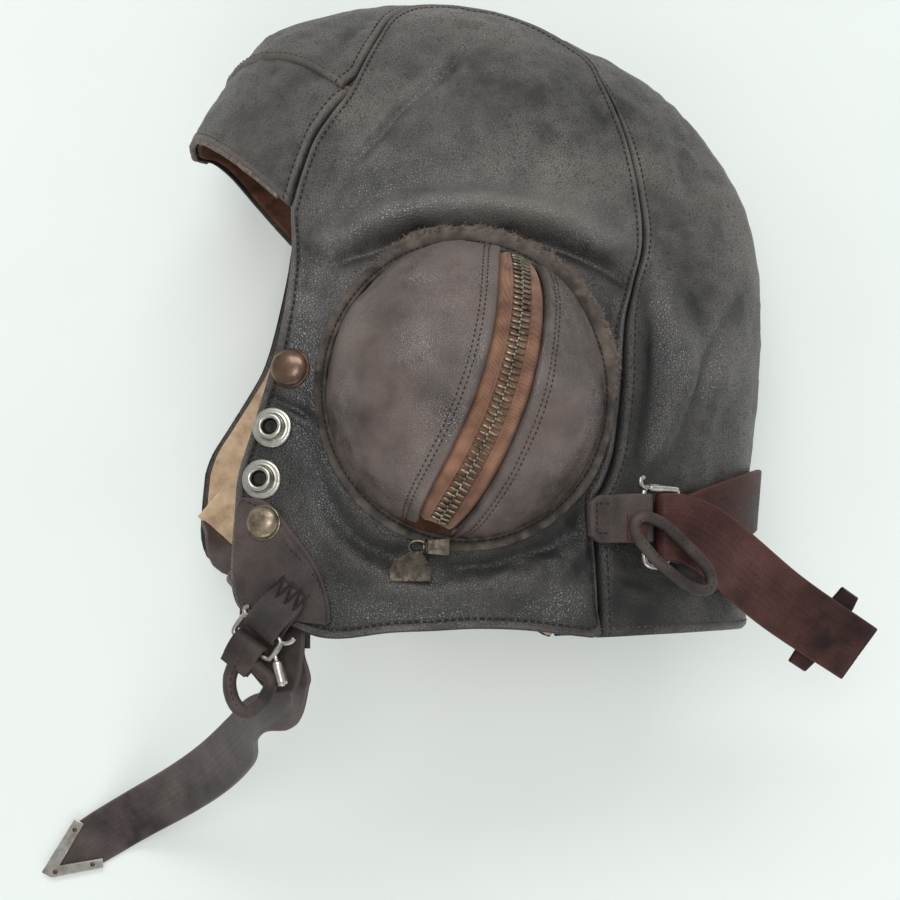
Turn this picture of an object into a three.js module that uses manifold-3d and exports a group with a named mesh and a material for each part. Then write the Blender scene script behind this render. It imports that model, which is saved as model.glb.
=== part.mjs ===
// Leather flying helmet lying on its right side, millimetres, +Z up.
// u runs to the rear of the head, v to the crown and w to the left ear.
import * as THREE from 'three';
import { mergeVertices } from 'three/addons/utils/BufferGeometryUtils.js';
import Module from 'manifold-3d';

const wasm = await Module();
wasm.setup();

// driving sizes of the head shape
const half_length = 112;
const crown_rise = 166;
const half_width = 75;
const round_share = 2.3;
const curtain_reach = 320;

// driving sizes of the leather
const leather = 1.8;
const lining = 1.2;
const gap = 0.35;
const seam_gap = 0.25;
const lining_inset = 2.2;
const lining_seam = 0.5;

// driving sizes of the ear cups
const ear_half_wide = 50;
const ear_half_tall = 54;
const ring_width = 4.2;
const ring_thick = 1.8;
const flap_width = 27.8;
const dome_height = 34;
const dome_leather = 2;
const dome_power = 2.4;
const zip_lean = THREE.MathUtils.degToRad(18.6);
const zip_slot = 17;
const zip_shift = 3.2;
const zip_bow = 9;
const tape_thick = 1;
const tape_lap = 1.6;
const teeth_wide = 7;
const teeth_thick = 1.7;
const teeth_count = 15;

// driving sizes of the small parts
const cap_wide = 13.4;
const small_cap_wide = 11.8;
const cap_high = 3.4;
const stud_wide = 14.4;
const stud_high = 4.2;
const patch_thick = 1.2;
const tab_thick = 1.6;
const tab_wide = 17;
const backing_thick = 2;
const wire = 1.2;
const loop_thick = 4.8;
const nape_loop_thick = 4.2;
const chin_strap_wide = 22;
const nape_strap_wide = 24;
const strap_thick = 2;
const tip_thick = 0.7;

// how the soft helmet lies on the surface
const lift = 72;
const crown_dip = THREE.MathUtils.degToRad(9.4);
const rear_dip = THREE.MathUtils.degToRad(3.4);
const press_in = 30;
const press_reach = 75;
const flap_swing = 22;
const flap_raise = 30;
const brow_raise = 16;
const skin_soft = 12;
const cup_soft = 2;
const far_cup_ease = 0.986;
const skin_low = 0.95;
const flap_top = 95;
const flap_span = 135;
const flap_back = 25;
const flap_blend = 80;
const brow_front = 10;
const brow_blend = 50;
const brow_low = 15;
const brow_span = 45;
const rest_point = { x: -18, y: -4 };

// side outline of the mid-plane, shares of half_length and crown_rise
const midplane = [
  { along: -0.929, up: 0.675 },
  { along: -0.857, up: 0.77 },
  { along: -0.78, up: 0.845 },
  { along: -0.652, up: 0.945 },
  { along: -0.42, up: 1.005 },
  { along: -0.09, up: 1.03 },
  { along: 0.464, up: 0.925 },
  { along: 0.774, up: 0.785 },
  { along: 0.995, up: 0.57 },
  { along: 1.076, up: 0.4 },
  { along: 1.085, up: 0.22 },
  { along: 1.05, up: -0.018 },
  { along: 1.005, up: -0.26 },
  { along: 0.991, up: -0.47 },
  { along: 0.964, up: -0.88 },
  { along: 0.786, up: -1.48 },
  { along: -0.018, up: -1.78 },
  { along: -0.911, up: -1.48 },
  { along: -1.134, up: -0.578 },
  { along: -1.179, up: -0.277 },
  { along: -1.179, up: 0.024 },
  { along: -1.134, up: 0.325 },
];

// seam between the side panel and the middle panel, temple to hem
const seam = [
  { along: -0.555, up: 0.422 },
  { along: -0.525, up: 0.5 },
  { along: -0.482, up: 0.585 },
  { along: -0.425, up: 0.65 },
  { along: -0.366, up: 0.712 },
  { along: -0.277, up: 0.849 },
  { along: -0.188, up: 0.955 },
  { along: -0.02, up: 1.0 },
  { along: 0.223, up: 0.965 },
  { along: 0.446, up: 0.855 },
  { along: 0.5, up: 0.765 },
  { along: 0.554, up: 0.638 },
  { along: 0.589, up: 0.494 },
  { along: 0.598, up: 0.365 },
  { along: 0.568, up: 0.268 },
  { along: 0.53, up: 0.175 },
  { along: 0.518, up: 0.1 },
  { along: 0.509, up: 0.024 },
  { along: 0.494, up: -0.058 },
  { along: 0.473, up: -0.139 },
  { along: 0.44, up: -0.2 },
  { along: 0.403, up: -0.253 },
  { along: 0.408, up: -0.38 },
  { along: 0.413, up: -0.512 },
];
const brow_rows = 4;

// free edge of the side panel, hem back to the temple; off is a share of flap_width in front of the ear ring
const free_edge = [
  { along: 0.29, up: -0.502 },
  { along: 0.17, up: -0.492 },
  { along: 0.03, up: -0.488 },
  { along: -0.1, up: -0.492 },
  { along: -0.232, up: -0.496 },
  { along: -0.402, up: -0.508 },
  { off: 0.351, up: -0.488 },
  { off: 0.838, up: -0.466 },
  { off: 0.995, up: -0.412 },
  { off: 0.999, up: -0.335 },
  { off: 0.967, up: -0.255 },
  { off: 0.927, up: -0.175 },
  { off: 0.778, up: -0.09 },
  { off: 0.605, up: 0.006 },
  { off: 0.452, up: 0.1 },
  { off: 0.335, up: 0.208 },
  { off: 0.266, up: 0.32 },
];

// stud centres on the flap, shares of flap_width and crown_rise
const studs = [
  { name: 'cap_upper', off: 0.266, up: 0.052, far_off: 0.125, far_up: 0.14, wide: cap_wide, kind: 'cap' },
  { name: 'stud_upper', off: 0.484, up: -0.076, far_off: 0.468, far_up: -0.06, wide: stud_wide, kind: 'stud' },
  { name: 'stud_lower', off: 0.613, up: -0.186, far_off: 0.629, far_up: -0.172, wide: stud_wide, kind: 'stud' },
  { name: 'cap_lower', off: 0.568, up: -0.279, far_off: 0.588, far_up: -0.285, wide: small_cap_wide, kind: 'cap' },
];

// curved edge of the flap's corner patch
const patch_edge = [
  { off: 0.85, up: -0.222 },
  { off: 0.556, up: -0.232 },
  { off: 0.327, up: -0.27 },
  { off: 0.149, up: -0.311 },
  { off: -0.036, up: -0.355 },
  { off: -0.165, up: -0.4 },
  { off: -0.241, up: -0.45 },
  { off: -0.266, up: -0.49 },
];

// soft step from 0 to 1
const ramp = (x) => {
  const t = Math.min(1, Math.max(0, x));
  return t * t * (3 - 2 * t);
};
const mix = (a, b, t) => a + (b - a) * t;
const flap_u = (off) => -(ear_half_wide + ring_width + off * flap_width);
const flap_spot = (p) => ({ u: flap_u(p.off), v: p.up * crown_rise });
const vec = (x, y, z) => new THREE.Vector3(x, y, z);

// reach of the mid-plane outline from the ear centre at a side angle
const plain_reach = (a) => {
  const tall = Math.sin(a) > 0 ? crown_rise : curtain_reach;
  return 1 / Math.hypot(Math.cos(a) / half_length, Math.sin(a) / tall);
};
const wrap_angle = (a) => {
  const turn = 2 * Math.PI;
  return (((a + Math.PI / 2) % turn) + turn) % turn - Math.PI / 2;
};
const reach_points = midplane.map((p) => {
  const a = wrap_angle(Math.atan2(p.up * crown_rise, p.along * half_length));
  return { a, k: Math.hypot(p.along * half_length, p.up * crown_rise) / plain_reach(a) };
}).sort((p, q) => p.a - q.a);
const first = reach_points[0];
const last = reach_points[reach_points.length - 1];
reach_points.unshift({ a: last.a - 2 * Math.PI, k: last.k });
reach_points.push({ a: first.a + 2 * Math.PI, k: first.k });
const slopes = reach_points.map((p, i) => {
  const lo = reach_points[Math.max(0, i - 1)];
  const hi = reach_points[Math.min(reach_points.length - 1, i + 1)];
  return (hi.k - lo.k) / (hi.a - lo.a);
});
function reach(angle) {
  const a = wrap_angle(angle);
  let i = 0;
  while (i < reach_points.length - 2 && reach_points[i + 1].a < a) i += 1;
  const h = reach_points[i + 1].a - reach_points[i].a;
  const t = (a - reach_points[i].a) / h;
  const t2 = t * t;
  const t3 = t2 * t;
  const k = (2 * t3 - 3 * t2 + 1) * reach_points[i].k + (t3 - 2 * t2 + t) * h * slopes[i]
    + (3 * t2 - 2 * t3) * reach_points[i + 1].k + (t3 - t2) * h * slopes[i + 1];
  return k * plain_reach(a);
}

// helmet shape at a side angle and a turn b, 0 at the left ear, pi at the right
function head(a, b) {
  const r = reach(a) * Math.abs(Math.sin(b)) ** (2 / round_share);
  const c = Math.cos(b);
  const w = half_width * Math.sign(c) * Math.abs(c) ** (2 / round_share);
  return vec(r * Math.cos(a), r * Math.sin(a), w);
}

// turn b of a point seen from the side, on the left half
function turn_of(u, v) {
  const t = Math.min(1, Math.hypot(u, v) / reach(Math.atan2(v, u)));
  return Math.asin(t ** (round_share / 2));
}

// helmet coordinates to the lying helmet, before the floor
function lay(p) {
  const s = Math.max(0, -p.z / half_width);
  const far = ramp(s / 0.6);
  const flap = Math.min(1, Math.max(0, (flap_top - p.y) / flap_span)) * ramp((flap_back - p.x) / flap_blend) * far;
  const brow = ramp((-brow_front - p.x) / brow_blend) * ramp((p.y - brow_low) / brow_span) * far;
  const u = p.x - flap_swing * flap;
  const v = p.y + flap_raise * flap + brow_raise * brow;
  const bump = Math.exp(-(u * u + v * v) / (press_reach * press_reach));
  const w = p.z + press_in * bump * Math.min(1, s) ** 2;
  const y = v * Math.cos(crown_dip) + w * Math.sin(crown_dip);
  const h = w * Math.cos(crown_dip) - v * Math.sin(crown_dip);
  const x = u * Math.cos(rear_dip) + h * Math.sin(rear_dip);
  return vec(x, y, h * Math.cos(rear_dip) - u * Math.sin(rear_dip) + lift);
}

// the surface below flattens what lies on it
function rest(p, low, k) {
  const h = p.z - low;
  const z = h > k ? h : h < -k ? 0 : (h + k) ** 2 / (4 * k);
  return vec(p.x, p.y, low + z);
}

// point on the helmet d outside the leather's inner face
const skin_base = (a, b) => rest(lay(head(a, b)), skin_low, skin_soft);
function skin(a, b, d) {
  const e = 0.002;
  const across = skin_base(a, b + e).sub(skin_base(a, b - e));
  const round = skin_base(a + e, b).sub(skin_base(a - e, b));
  const n = across.cross(round).normalize();
  return skin_base(a, b).addScaledVector(n, d);
}

// same, from side coordinates; side is 1 for left and -1 for right
function skin_at(side, u, v, d) {
  const b = turn_of(u, v);
  return skin(Math.atan2(v, u), side > 0 ? b : Math.PI - b, d);
}

// closed slab from a grid of points, face 0 inside and face 1 outside
function slab(rows, cols, at, loop = false, like = (i, j) => at(i, j, 1)) {
  const ni = loop ? rows : rows + 1;
  const points = [];
  const shape = [];
  const id = (i, j, k) => ((i % ni) * (cols + 1) + j) * 2 + k;
  for (let i = 0; i < ni; i += 1) {
    shape.push([]);
    for (let j = 0; j <= cols; j += 1) {
      points.push(at(i, j, 0), at(i, j, 1));
      shape[i].push(like(i, j));
    }
  }
  const index = [];
  const quad = (a, b, c, d) => index.push(a, b, c, a, c, d);
  for (let i = 0; i < rows; i += 1) {
    for (let j = 0; j < cols; j += 1) {
      const one = shape[i % ni][j].distanceTo(shape[(i + 1) % ni][j + 1]);
      const two = shape[i % ni][j + 1].distanceTo(shape[(i + 1) % ni][j]);
      if (two < one * 0.97) {
        quad(id(i, j + 1, 1), id(i + 1, j + 1, 1), id(i + 1, j, 1), id(i, j, 1));
        quad(id(i, j + 1, 0), id(i, j, 0), id(i + 1, j, 0), id(i + 1, j + 1, 0));
      } else {
        quad(id(i, j, 1), id(i, j + 1, 1), id(i + 1, j + 1, 1), id(i + 1, j, 1));
        quad(id(i, j, 0), id(i + 1, j, 0), id(i + 1, j + 1, 0), id(i, j + 1, 0));
      }
    }
    quad(id(i, 0, 0), id(i, 0, 1), id(i + 1, 0, 1), id(i + 1, 0, 0));
    quad(id(i, cols, 1), id(i, cols, 0), id(i + 1, cols, 0), id(i + 1, cols, 1));
  }
  if (!loop) {
    for (let j = 0; j < cols; j += 1) {
      quad(id(0, j, 0), id(0, j + 1, 0), id(0, j + 1, 1), id(0, j, 1));
      quad(id(rows, j, 1), id(rows, j + 1, 1), id(rows, j + 1, 0), id(rows, j, 0));
    }
  }
  return closed(points, index);
}

// geometry with its faces turned outward
function closed(points, index) {
  let volume = 0;
  for (let t = 0; t < index.length; t += 3) {
    const [a, b, c] = [points[index[t]], points[index[t + 1]], points[index[t + 2]]];
    volume += a.dot(b.clone().cross(c));
  }
  const order = volume < 0 ? index.slice().reverse() : index;
  const geometry = new THREE.BufferGeometry();
  geometry.setAttribute('position', new THREE.Float32BufferAttribute(points.flatMap((p) => [p.x, p.y, p.z]), 3));
  geometry.setIndex(order);
  return geometry;
}

// round bar along points, closed into a ring or with flat ends
function bar(points, radius, sides, loop = false, steps = 3) {
  const curve = new THREE.CatmullRomCurve3(points, loop, 'centripetal');
  const n = points.length * steps;
  const frames = curve.computeFrenetFrames(n, loop);
  const ni = loop ? n : n + 1;
  const verts = [];
  for (let i = 0; i < ni; i += 1) {
    const c = curve.getPointAt(i / n);
    for (let j = 0; j < sides; j += 1) {
      const g = (2 * Math.PI * j) / sides;
      verts.push(c.clone()
        .addScaledVector(frames.normals[i], radius * Math.cos(g))
        .addScaledVector(frames.binormals[i], radius * Math.sin(g)));
    }
  }
  const index = [];
  const id = (i, j) => (i % ni) * sides + (j % sides);
  for (let i = 0; i < n; i += 1) {
    for (let j = 0; j < sides; j += 1) {
      index.push(id(i, j), id(i, j + 1), id(i + 1, j + 1), id(i, j), id(i + 1, j + 1), id(i + 1, j));
    }
  }
  if (!loop) {
    for (let j = 1; j < sides - 1; j += 1) {
      index.push(id(0, 0), id(0, j + 1), id(0, j));
      index.push(id(n, 0), id(n, j), id(n, j + 1));
    }
  }
  return closed(verts, index);
}

// flat band along stations, each a centre, a width direction and a width
function band(stations, thick, steps, arms = 1) {
  const centre = new THREE.CatmullRomCurve3(stations.map((s) => s.at), false, 'centripetal');
  const rows = (stations.length - 1) * steps;
  const lines = [];
  for (let i = 0; i <= rows; i += 1) {
    const t = i / rows;
    const f = t * (stations.length - 1);
    const k = Math.min(stations.length - 2, Math.floor(f));
    const h = f - k;
    const side = stations[k].side.clone().lerp(stations[k + 1].side, h);
    const tangent = centre.getTangent(t);
    side.addScaledVector(tangent, -side.dot(tangent)).normalize();
    const up = tangent.clone().cross(side).normalize();
    const half = mix(stations[k].wide, stations[k + 1].wide, h) / 2;
    lines.push({ c: centre.getPoint(t), side, up, half });
  }
  return slab(rows, arms, (i, j, k) => {
    const l = lines[i];
    return l.c.clone().addScaledVector(l.side, l.half * (2 * j / arms - 1))
      .addScaledVector(l.up, (k - 0.5) * thick);
  });
}

// join and cut of closed solids
function solid_of(geometry) {
  const g = geometry.clone();
  g.deleteAttribute('normal');
  g.deleteAttribute('uv');
  const m = mergeVertices(g, 1e-4);
  return new wasm.Manifold(new wasm.Mesh({
    numProp: 3,
    vertProperties: new Float32Array(m.attributes.position.array),
    triVerts: new Uint32Array(m.index.array),
  }));
}
function geometry_of(solid) {
  const mesh = solid.getMesh();
  const g = new THREE.BufferGeometry();
  g.setAttribute('position', new THREE.Float32BufferAttribute(Array.from(mesh.vertProperties), 3));
  g.setIndex(Array.from(mesh.triVerts));
  return g;
}
const join = (...parts) => geometry_of(parts.map(solid_of).reduce((a, b) => a.add(b)));

// materials
const paint = (color, roughness, metalness) => new THREE.MeshStandardMaterial({ color, roughness, metalness });
const leather_paint = paint(0x2b2320, 0.5, 0);
const dome_paint = paint(0x3b302c, 0.5, 0);
const strap_paint = paint(0x3a2220, 0.5, 0);
const suede_paint = paint(0xc9a678, 0.9, 0);
const nap_paint = paint(0x4a2c20, 0.95, 0);
const tape_paint = paint(0x8a6350, 0.85, 0);
const brass_paint = paint(0x6e6048, 0.45, 0.9);
const nickel_paint = paint(0xb9b6ac, 0.35, 1);
const cap_paint = paint(0x5a3d33, 0.35, 0.6);

const helmet = new THREE.Group();
helmet.name = 'flying_helmet';
function add(name, geometry, material) {
  const mesh = new THREE.Mesh(geometry, material);
  mesh.name = name;
  geometry.computeVertexNormals();
  helmet.add(mesh);
  return mesh;
}

// side panel outline, seam first, then the free edge
const outline = [...seam, ...free_edge].map((p) => {
  const u = p.off === undefined ? p.along * half_length : flap_u(p.off);
  const v = p.up * crown_rise;
  return { a: Math.atan2(v, u), b: turn_of(u, v) };
});
const seam_last = seam.length - 1;

// turn b moved by a distance along the surface
function shifted(a, b, distance) {
  const e = 0.002;
  const per = skin_base(a, b + e).distanceTo(skin_base(a, b - e)) / (2 * e);
  return b + distance / per;
}
const hole_turn = (a, grow) => turn_of(
  Math.cos(a) / Math.hypot(Math.cos(a) / (ear_half_wide + grow), Math.sin(a) / (ear_half_tall + grow)),
  Math.sin(a) / Math.hypot(Math.cos(a) / (ear_half_wide + grow), Math.sin(a) / (ear_half_tall + grow)),
);
const panel_steps = 4;

// side sheet between two depths
function side_sheet(side, low, high, inner_grow, outer_inset, seam_inset) {
  const point = (i, j, d, grow, inset, at_seam) => {
    const { a, b } = outline[i];
    const on_seam = i <= seam_last;
    const rim = shifted(a, b, -(on_seam ? seam_gap : 0.01));
    const edge = j < panel_steps ? rim : shifted(a, b, -(on_seam ? at_seam : inset + 0.01));
    const hole = hole_turn(a, grow);
    const ring = hole_turn(a, ring_width + 1);
    const t = j === 0 ? hole : j === 1 ? ring : mix(ring, edge, (j - 1) / (panel_steps - 1));
    return skin(a, side > 0 ? t : Math.PI - t, d);
  };
  return slab(outline.length, panel_steps, (i, j, k) => point(i, j, k ? high : low, inner_grow, outer_inset, seam_inset),
    true, (i, j) => point(i, j, leather, 0, 0, seam_gap));
}

// grid point of a middle sheet, rows from the brow edge to the hem
const brow_centre = Math.atan2(0.675 * crown_rise, -0.929 * half_length);
const cross_centre = Math.atan2(0.845 * crown_rise, -0.78 * half_length);
const hem_centre = Math.atan2(-0.482 * crown_rise, 0.991 * half_length);
const gore_cols = 7;
function angle_at(t, up) {
  let lo = -1.3;
  let hi = 0.8;
  for (let n = 0; n < 30; n += 1) {
    const m = (lo + hi) / 2;
    if (head(m, t).y < up) lo = m; else hi = m;
  }
  return (lo + hi) / 2;
}
function centre_angle(i) {
  if (i <= brow_rows) return mix(brow_centre, cross_centre, i / brow_rows);
  return mix(cross_centre, hem_centre, (i - brow_rows) / (seam_last - brow_rows));
}
function gore_point(row, j, d, push, at_seam) {
  const { a, b } = outline[row];
  const edge = shifted(a, b, j % gore_cols ? seam_gap : at_seam);
  const wide = Math.cos(edge) ** (2 / round_share);
  const x = 1 - (2 * j) / gore_cols;
  const c = wide * x;
  const t = Math.acos(Math.sign(c) * Math.abs(c) ** (round_share / 2));
  const mid = centre_angle(row);
  let angle = mix(wrap_angle(a), mid, 1 - x * x);
  const low_share = ramp((row - seam_last + 7) / 5);
  if (low_share > 0) {
    const up_seam = head(a, b).y;
    const up_mid = reach(mid) * Math.sin(mid);
    angle = mix(angle, angle_at(t, mix(up_seam, up_mid, 1 - x * x)), low_share);
  }
  angle += push / (reach(angle) * Math.max(0.4, Math.sin(t)));
  return skin(angle, t, d);
}
function gore_sheet(from, to, low, high, start_inset, end_inset, seam_inset) {
  return slab(to - from, gore_cols, (i, j, k) => {
    const push = i === 0 ? -start_inset : i === to - from ? end_inset : 0;
    return gore_point(from + i, j, k ? high : low, push, seam_inset);
  }, false, (i, j) => gore_point(from + i, j, leather, 0, seam_gap));
}
add('brow_panel', gore_sheet(0, brow_rows, 0, leather, 0, seam_gap, seam_gap), leather_paint);
add('crown_gore', gore_sheet(brow_rows, seam_last, 0, leather, seam_gap, 0, seam_gap), leather_paint);
add('crown_lining', gore_sheet(0, seam_last, -gap - 0.1 - lining, -gap - 0.1, lining_inset, 1.2, lining_seam), nap_paint);

// both sides: panel, lining, ring and ear cup
const sides = [{ name: 'left', side: 1 }, { name: 'right', side: -1 }];
for (const { name, side } of sides) {
  add(`${name}_side_panel`, side_sheet(side, 0, leather, 0, 0, seam_gap), leather_paint);
  add(`${name}_side_lining`, side_sheet(side, -gap - lining, -gap, 0.5, lining_inset, lining_seam), suede_paint);
  const low = leather + gap;
  add(`${name}_ear_ring`, slab(outline.length, 1, (i, j, k) => {
    const { a } = outline[i];
    const t = hole_turn(a, j ? ring_width : 0.8);
    return skin(a, side > 0 ? t : Math.PI - t, k ? low + ring_thick : low);
  }, true), leather_paint);
}

// point of an ear cup, x across the zip and y along it, both in -1..1
const cup_wide = ear_half_wide - dome_leather - gap * 2;
const cup_tall = ear_half_tall - dome_leather - gap * 2;
function cup_base(side, x, y) {
  const ease = side > 0 ? 1 : far_cup_ease;
  const u = cup_wide * ease * (x * Math.cos(zip_lean) + y * Math.sin(zip_lean));
  const v = cup_tall * ease * (y * Math.cos(zip_lean) - x * Math.sin(zip_lean));
  const b = turn_of(u, v);
  const p = head(Math.atan2(v, u), side > 0 ? b : Math.PI - b);
  const rho = Math.min(1, Math.hypot(x, y));
  p.z += side * dome_height * (1 - rho * rho) ** (1 / dome_power);
  return rest(lay(p), dome_leather, cup_soft);
}
function cup(side, x, y, d) {
  const e = 0.001;
  const rho = Math.hypot(x, y);
  const dir = rho > 1e-3 ? { x: x / rho, y: y / rho } : { x: 1, y: 0 };
  const back = rho > 0.5 ? 0 : e;
  const out = cup_base(side, x + dir.x * back, y + dir.y * back)
    .sub(cup_base(side, x - dir.x * e, y - dir.y * e));
  const turn = e / Math.max(rho, 0.2);
  const c = Math.cos(turn);
  const s = Math.sin(turn);
  const p1 = rho > 1e-3 ? { x: x * c - y * s, y: y * c + x * s } : { x: 0, y: e };
  const p2 = rho > 1e-3 ? { x: x * c + y * s, y: y * c - x * s } : { x: 0, y: -e };
  const round = cup_base(side, p1.x, p1.y).sub(cup_base(side, p2.x, p2.y));
  const n = out.cross(round).multiplyScalar(side).normalize();
  return cup_base(side, x, y).addScaledVector(n, d);
}

// zip slot, centre and half width across the cup, as shares of its half width
const slot_mid = (y) => (zip_shift + zip_bow * (1 - y * y)) / cup_wide;
const slot_half = (y) => (zip_slot / 2) * (1 - 0.35 * y ** 8) / cup_wide;
const cup_rows = 12;
const cup_cols = 3;
const row_angle = (i, n) => THREE.MathUtils.degToRad(mix(-78, 78, i / n));
for (const { name, side } of sides) {
  for (const half of [{ name: 'front', s: -1 }, { name: 'rear', s: 1 }]) {
    add(`${name}_ear_dome_${half.name}`, slab(cup_rows, cup_cols, (i, j, k) => {
      const t = row_angle(i, cup_rows);
      const y = Math.sin(t);
      const inner = slot_mid(y) + half.s * slot_half(y);
      const outer = half.s * Math.cos(t);
      return cup(side, mix(inner, outer, Math.sin((j / cup_cols) * Math.PI / 2)), y, k ? dome_leather : 0);
    }), dome_paint);
  }
  add(`${name}_zip_tape`, slab(cup_rows, 3, (i, j, k) => {
    const y = Math.sin(row_angle(i, cup_rows)) * 0.985;
    const half = slot_half(y) + (Math.abs(y) < 0.9 ? tape_lap : 0.4) / cup_wide;
    const top = -gap * (side > 0 ? 2 : 3);
    return cup(side, slot_mid(y) + half * (2 * j / 3 - 1), y, k ? top : top - tape_thick);
  }), tape_paint);
  const rows = teeth_count * 2;
  add(`${name}_zip_teeth`, slab(rows, 1, (i, j, k) => {
    const y = Math.sin(THREE.MathUtils.degToRad(mix(-70, 70, i / rows)));
    const half = teeth_wide / 2 / cup_wide;
    const tall = i % 2 ? teeth_thick : teeth_thick * 0.55;
    return cup(side, slot_mid(y) + half * (2 * j - 1), y, k ? tall : 0.02);
  }), brass_paint);
}

// outer face of a side panel at side coordinates, h above its facets
const panel_levels = (i) => {
  const { a, b } = outline[i % outline.length];
  const edge = shifted(a, b, -(i % outline.length <= seam_last ? seam_gap : 0.01));
  const ring = hole_turn(a, ring_width + 1);
  const levels = [hole_turn(a, 0), ring];
  for (let j = 2; j <= panel_steps; j += 1) levels.push(mix(ring, edge, (j - 1) / (panel_steps - 1)));
  return levels;
};
const panel_cache = { 1: [], [-1]: [] };
for (const side of [1, -1]) {
  for (let i = 0; i < outline.length; i += 1) {
    const { a } = outline[i];
    panel_cache[side].push(panel_levels(i).map((b) => {
      const t = side > 0 ? b : Math.PI - b;
      const at = skin(a, t, leather);
      return { at, n: at.clone().sub(skin(a, t, 0)).normalize(), b };
    }));
  }
}
function on_panel(side, u, v, h) {
  const turn = 2 * Math.PI;
  const a = Math.atan2(v, u);
  const count = outline.length;
  let i = 0;
  let f = 0;
  for (i = 0; i < count; i += 1) {
    const a0 = outline[i].a;
    const step = (((a0 - outline[(i + 1) % count].a) % turn) + turn) % turn;
    const down = (((a0 - a) % turn) + turn) % turn;
    if (down <= step) {
      f = down / step;
      break;
    }
  }
  const c0 = panel_cache[side][i];
  const c1 = panel_cache[side][(i + 1) % count];
  const b = turn_of(u, v);
  let j = 0;
  while (j < panel_steps - 1 && mix(c0[j + 1].b, c1[j + 1].b, f) < b) j += 1;
  const b0 = mix(c0[j].b, c1[j].b, f);
  const b1 = mix(c0[j + 1].b, c1[j + 1].b, f);
  const g = (b - b0) / (b1 - b0);
  const blend = (key) => c0[j][key].clone().lerp(c1[j][key], f).lerp(c0[j + 1][key].clone().lerp(c1[j + 1][key], f), g);
  return blend('at').addScaledVector(blend('n').normalize(), h);
}

// flat sheet laid on the panel around a centre, x to the rear and y to the crown
function lay_on(side, cu, cv) {
  const e = 0.5;
  const du = on_panel(side, cu + e, cv, 0).sub(on_panel(side, cu - e, cv, 0)).divideScalar(2 * e);
  const dv = on_panel(side, cu, cv + e, 0).sub(on_panel(side, cu, cv - e, 0)).divideScalar(2 * e);
  const n = du.clone().cross(dv).multiplyScalar(side).normalize();
  const ex = vec(1, 0, 0).addScaledVector(n, -n.x).normalize();
  const ey = n.clone().cross(ex).multiplyScalar(side);
  const [a, b, c, d] = [du.dot(ex), dv.dot(ex), du.dot(ey), dv.dot(ey)];
  const det = a * d - b * c;
  const at = (x, y, h) => on_panel(side, cu + (d * x - b * y) / det, cv + (a * y - c * x) / det, h);
  return { at, origin: on_panel(side, cu, cv, 0), ex, ey, n };
}

// turned profile set on the panel, each pair a radius and a height
function turned(place, profile, segments) {
  const lathe = new THREE.LatheGeometry(profile.map(([r, h]) => new THREE.Vector2(r, h)), segments);
  lathe.deleteAttribute('normal');
  lathe.deleteAttribute('uv');
  const g = mergeVertices(lathe, 1e-4);
  const p = g.attributes.position;
  const points = [];
  for (let i = 0; i < p.count; i += 1) points.push(place(p.getX(i), p.getZ(i), p.getY(i)));
  const index = [];
  for (let t = 0; t < g.index.count; t += 3) {
    const [a, b, c] = [g.index.getX(t), g.index.getX(t + 1), g.index.getX(t + 2)];
    if (a !== b && b !== c && a !== c) index.push(a, b, c);
  }
  return closed(points, index);
}

// flap fittings: corner patch, snap caps and studs
const patch_at = patch_edge.map(flap_spot);
const patch_outer = [
  { off: 0.919, up: -0.25 },
  { off: 0.951, up: -0.335 },
  { off: 0.943, up: -0.405 },
  { off: 0.79, up: -0.452 },
  { off: 0.351, up: -0.478 },
  { off: 0.065, up: -0.491 },
  { off: -0.137, up: -0.495 },
  { off: -0.197, up: -0.497 },
].map(flap_spot);
const along_line = (line, t) => {
  const f = t * (line.length - 1);
  const k = Math.min(line.length - 2, Math.floor(f));
  return { u: mix(line[k].u, line[k + 1].u, f - k), v: mix(line[k].v, line[k + 1].v, f - k) };
};
for (const { name, side } of sides) {
  add(`${name}_flap_patch`, slab(8, 4, (i, j, k) => {
    const p = along_line(patch_at, i / 8);
    const q = along_line(patch_outer, i / 8);
    const ease = side > 0 ? 0 : 0.35;
    return on_panel(side, mix(p.u, q.u, j / 4), mix(p.v, q.v, j / 4), (k ? gap + patch_thick : gap) + ease);
  }), leather_paint);
  for (const s of studs) {
    const low = (s.name === 'cap_lower' ? gap * 2 + patch_thick : gap) + (side > 0 ? 0 : 0.35);
    const spot = side > 0 ? lay_on(side, flap_u(s.off), s.up * crown_rise)
      : lay_on(side, flap_u(s.far_off), s.far_up * crown_rise);
    const place = (x, y, h) => spot.at(x, y, low + h);
    const r = s.wide / 2;
    const shape = s.kind === 'cap'
      ? [[0, 0], [r * 0.94, 0], [r, cap_high * 0.3], [r * 0.78, cap_high * 0.78], [r * 0.4, cap_high * 0.97], [0, cap_high]]
      : [[0, 0], [r, 0], [r, 0.9], [r * 0.72, 1.2], [r * 0.62, stud_high], [r * 0.4, stud_high], [r * 0.36, 1.1], [0, 1.1]];
    add(`${name}_${s.name}`, turned(place, shape, 10), s.kind === 'cap' ? cap_paint : nickel_paint);
  }
}

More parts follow.
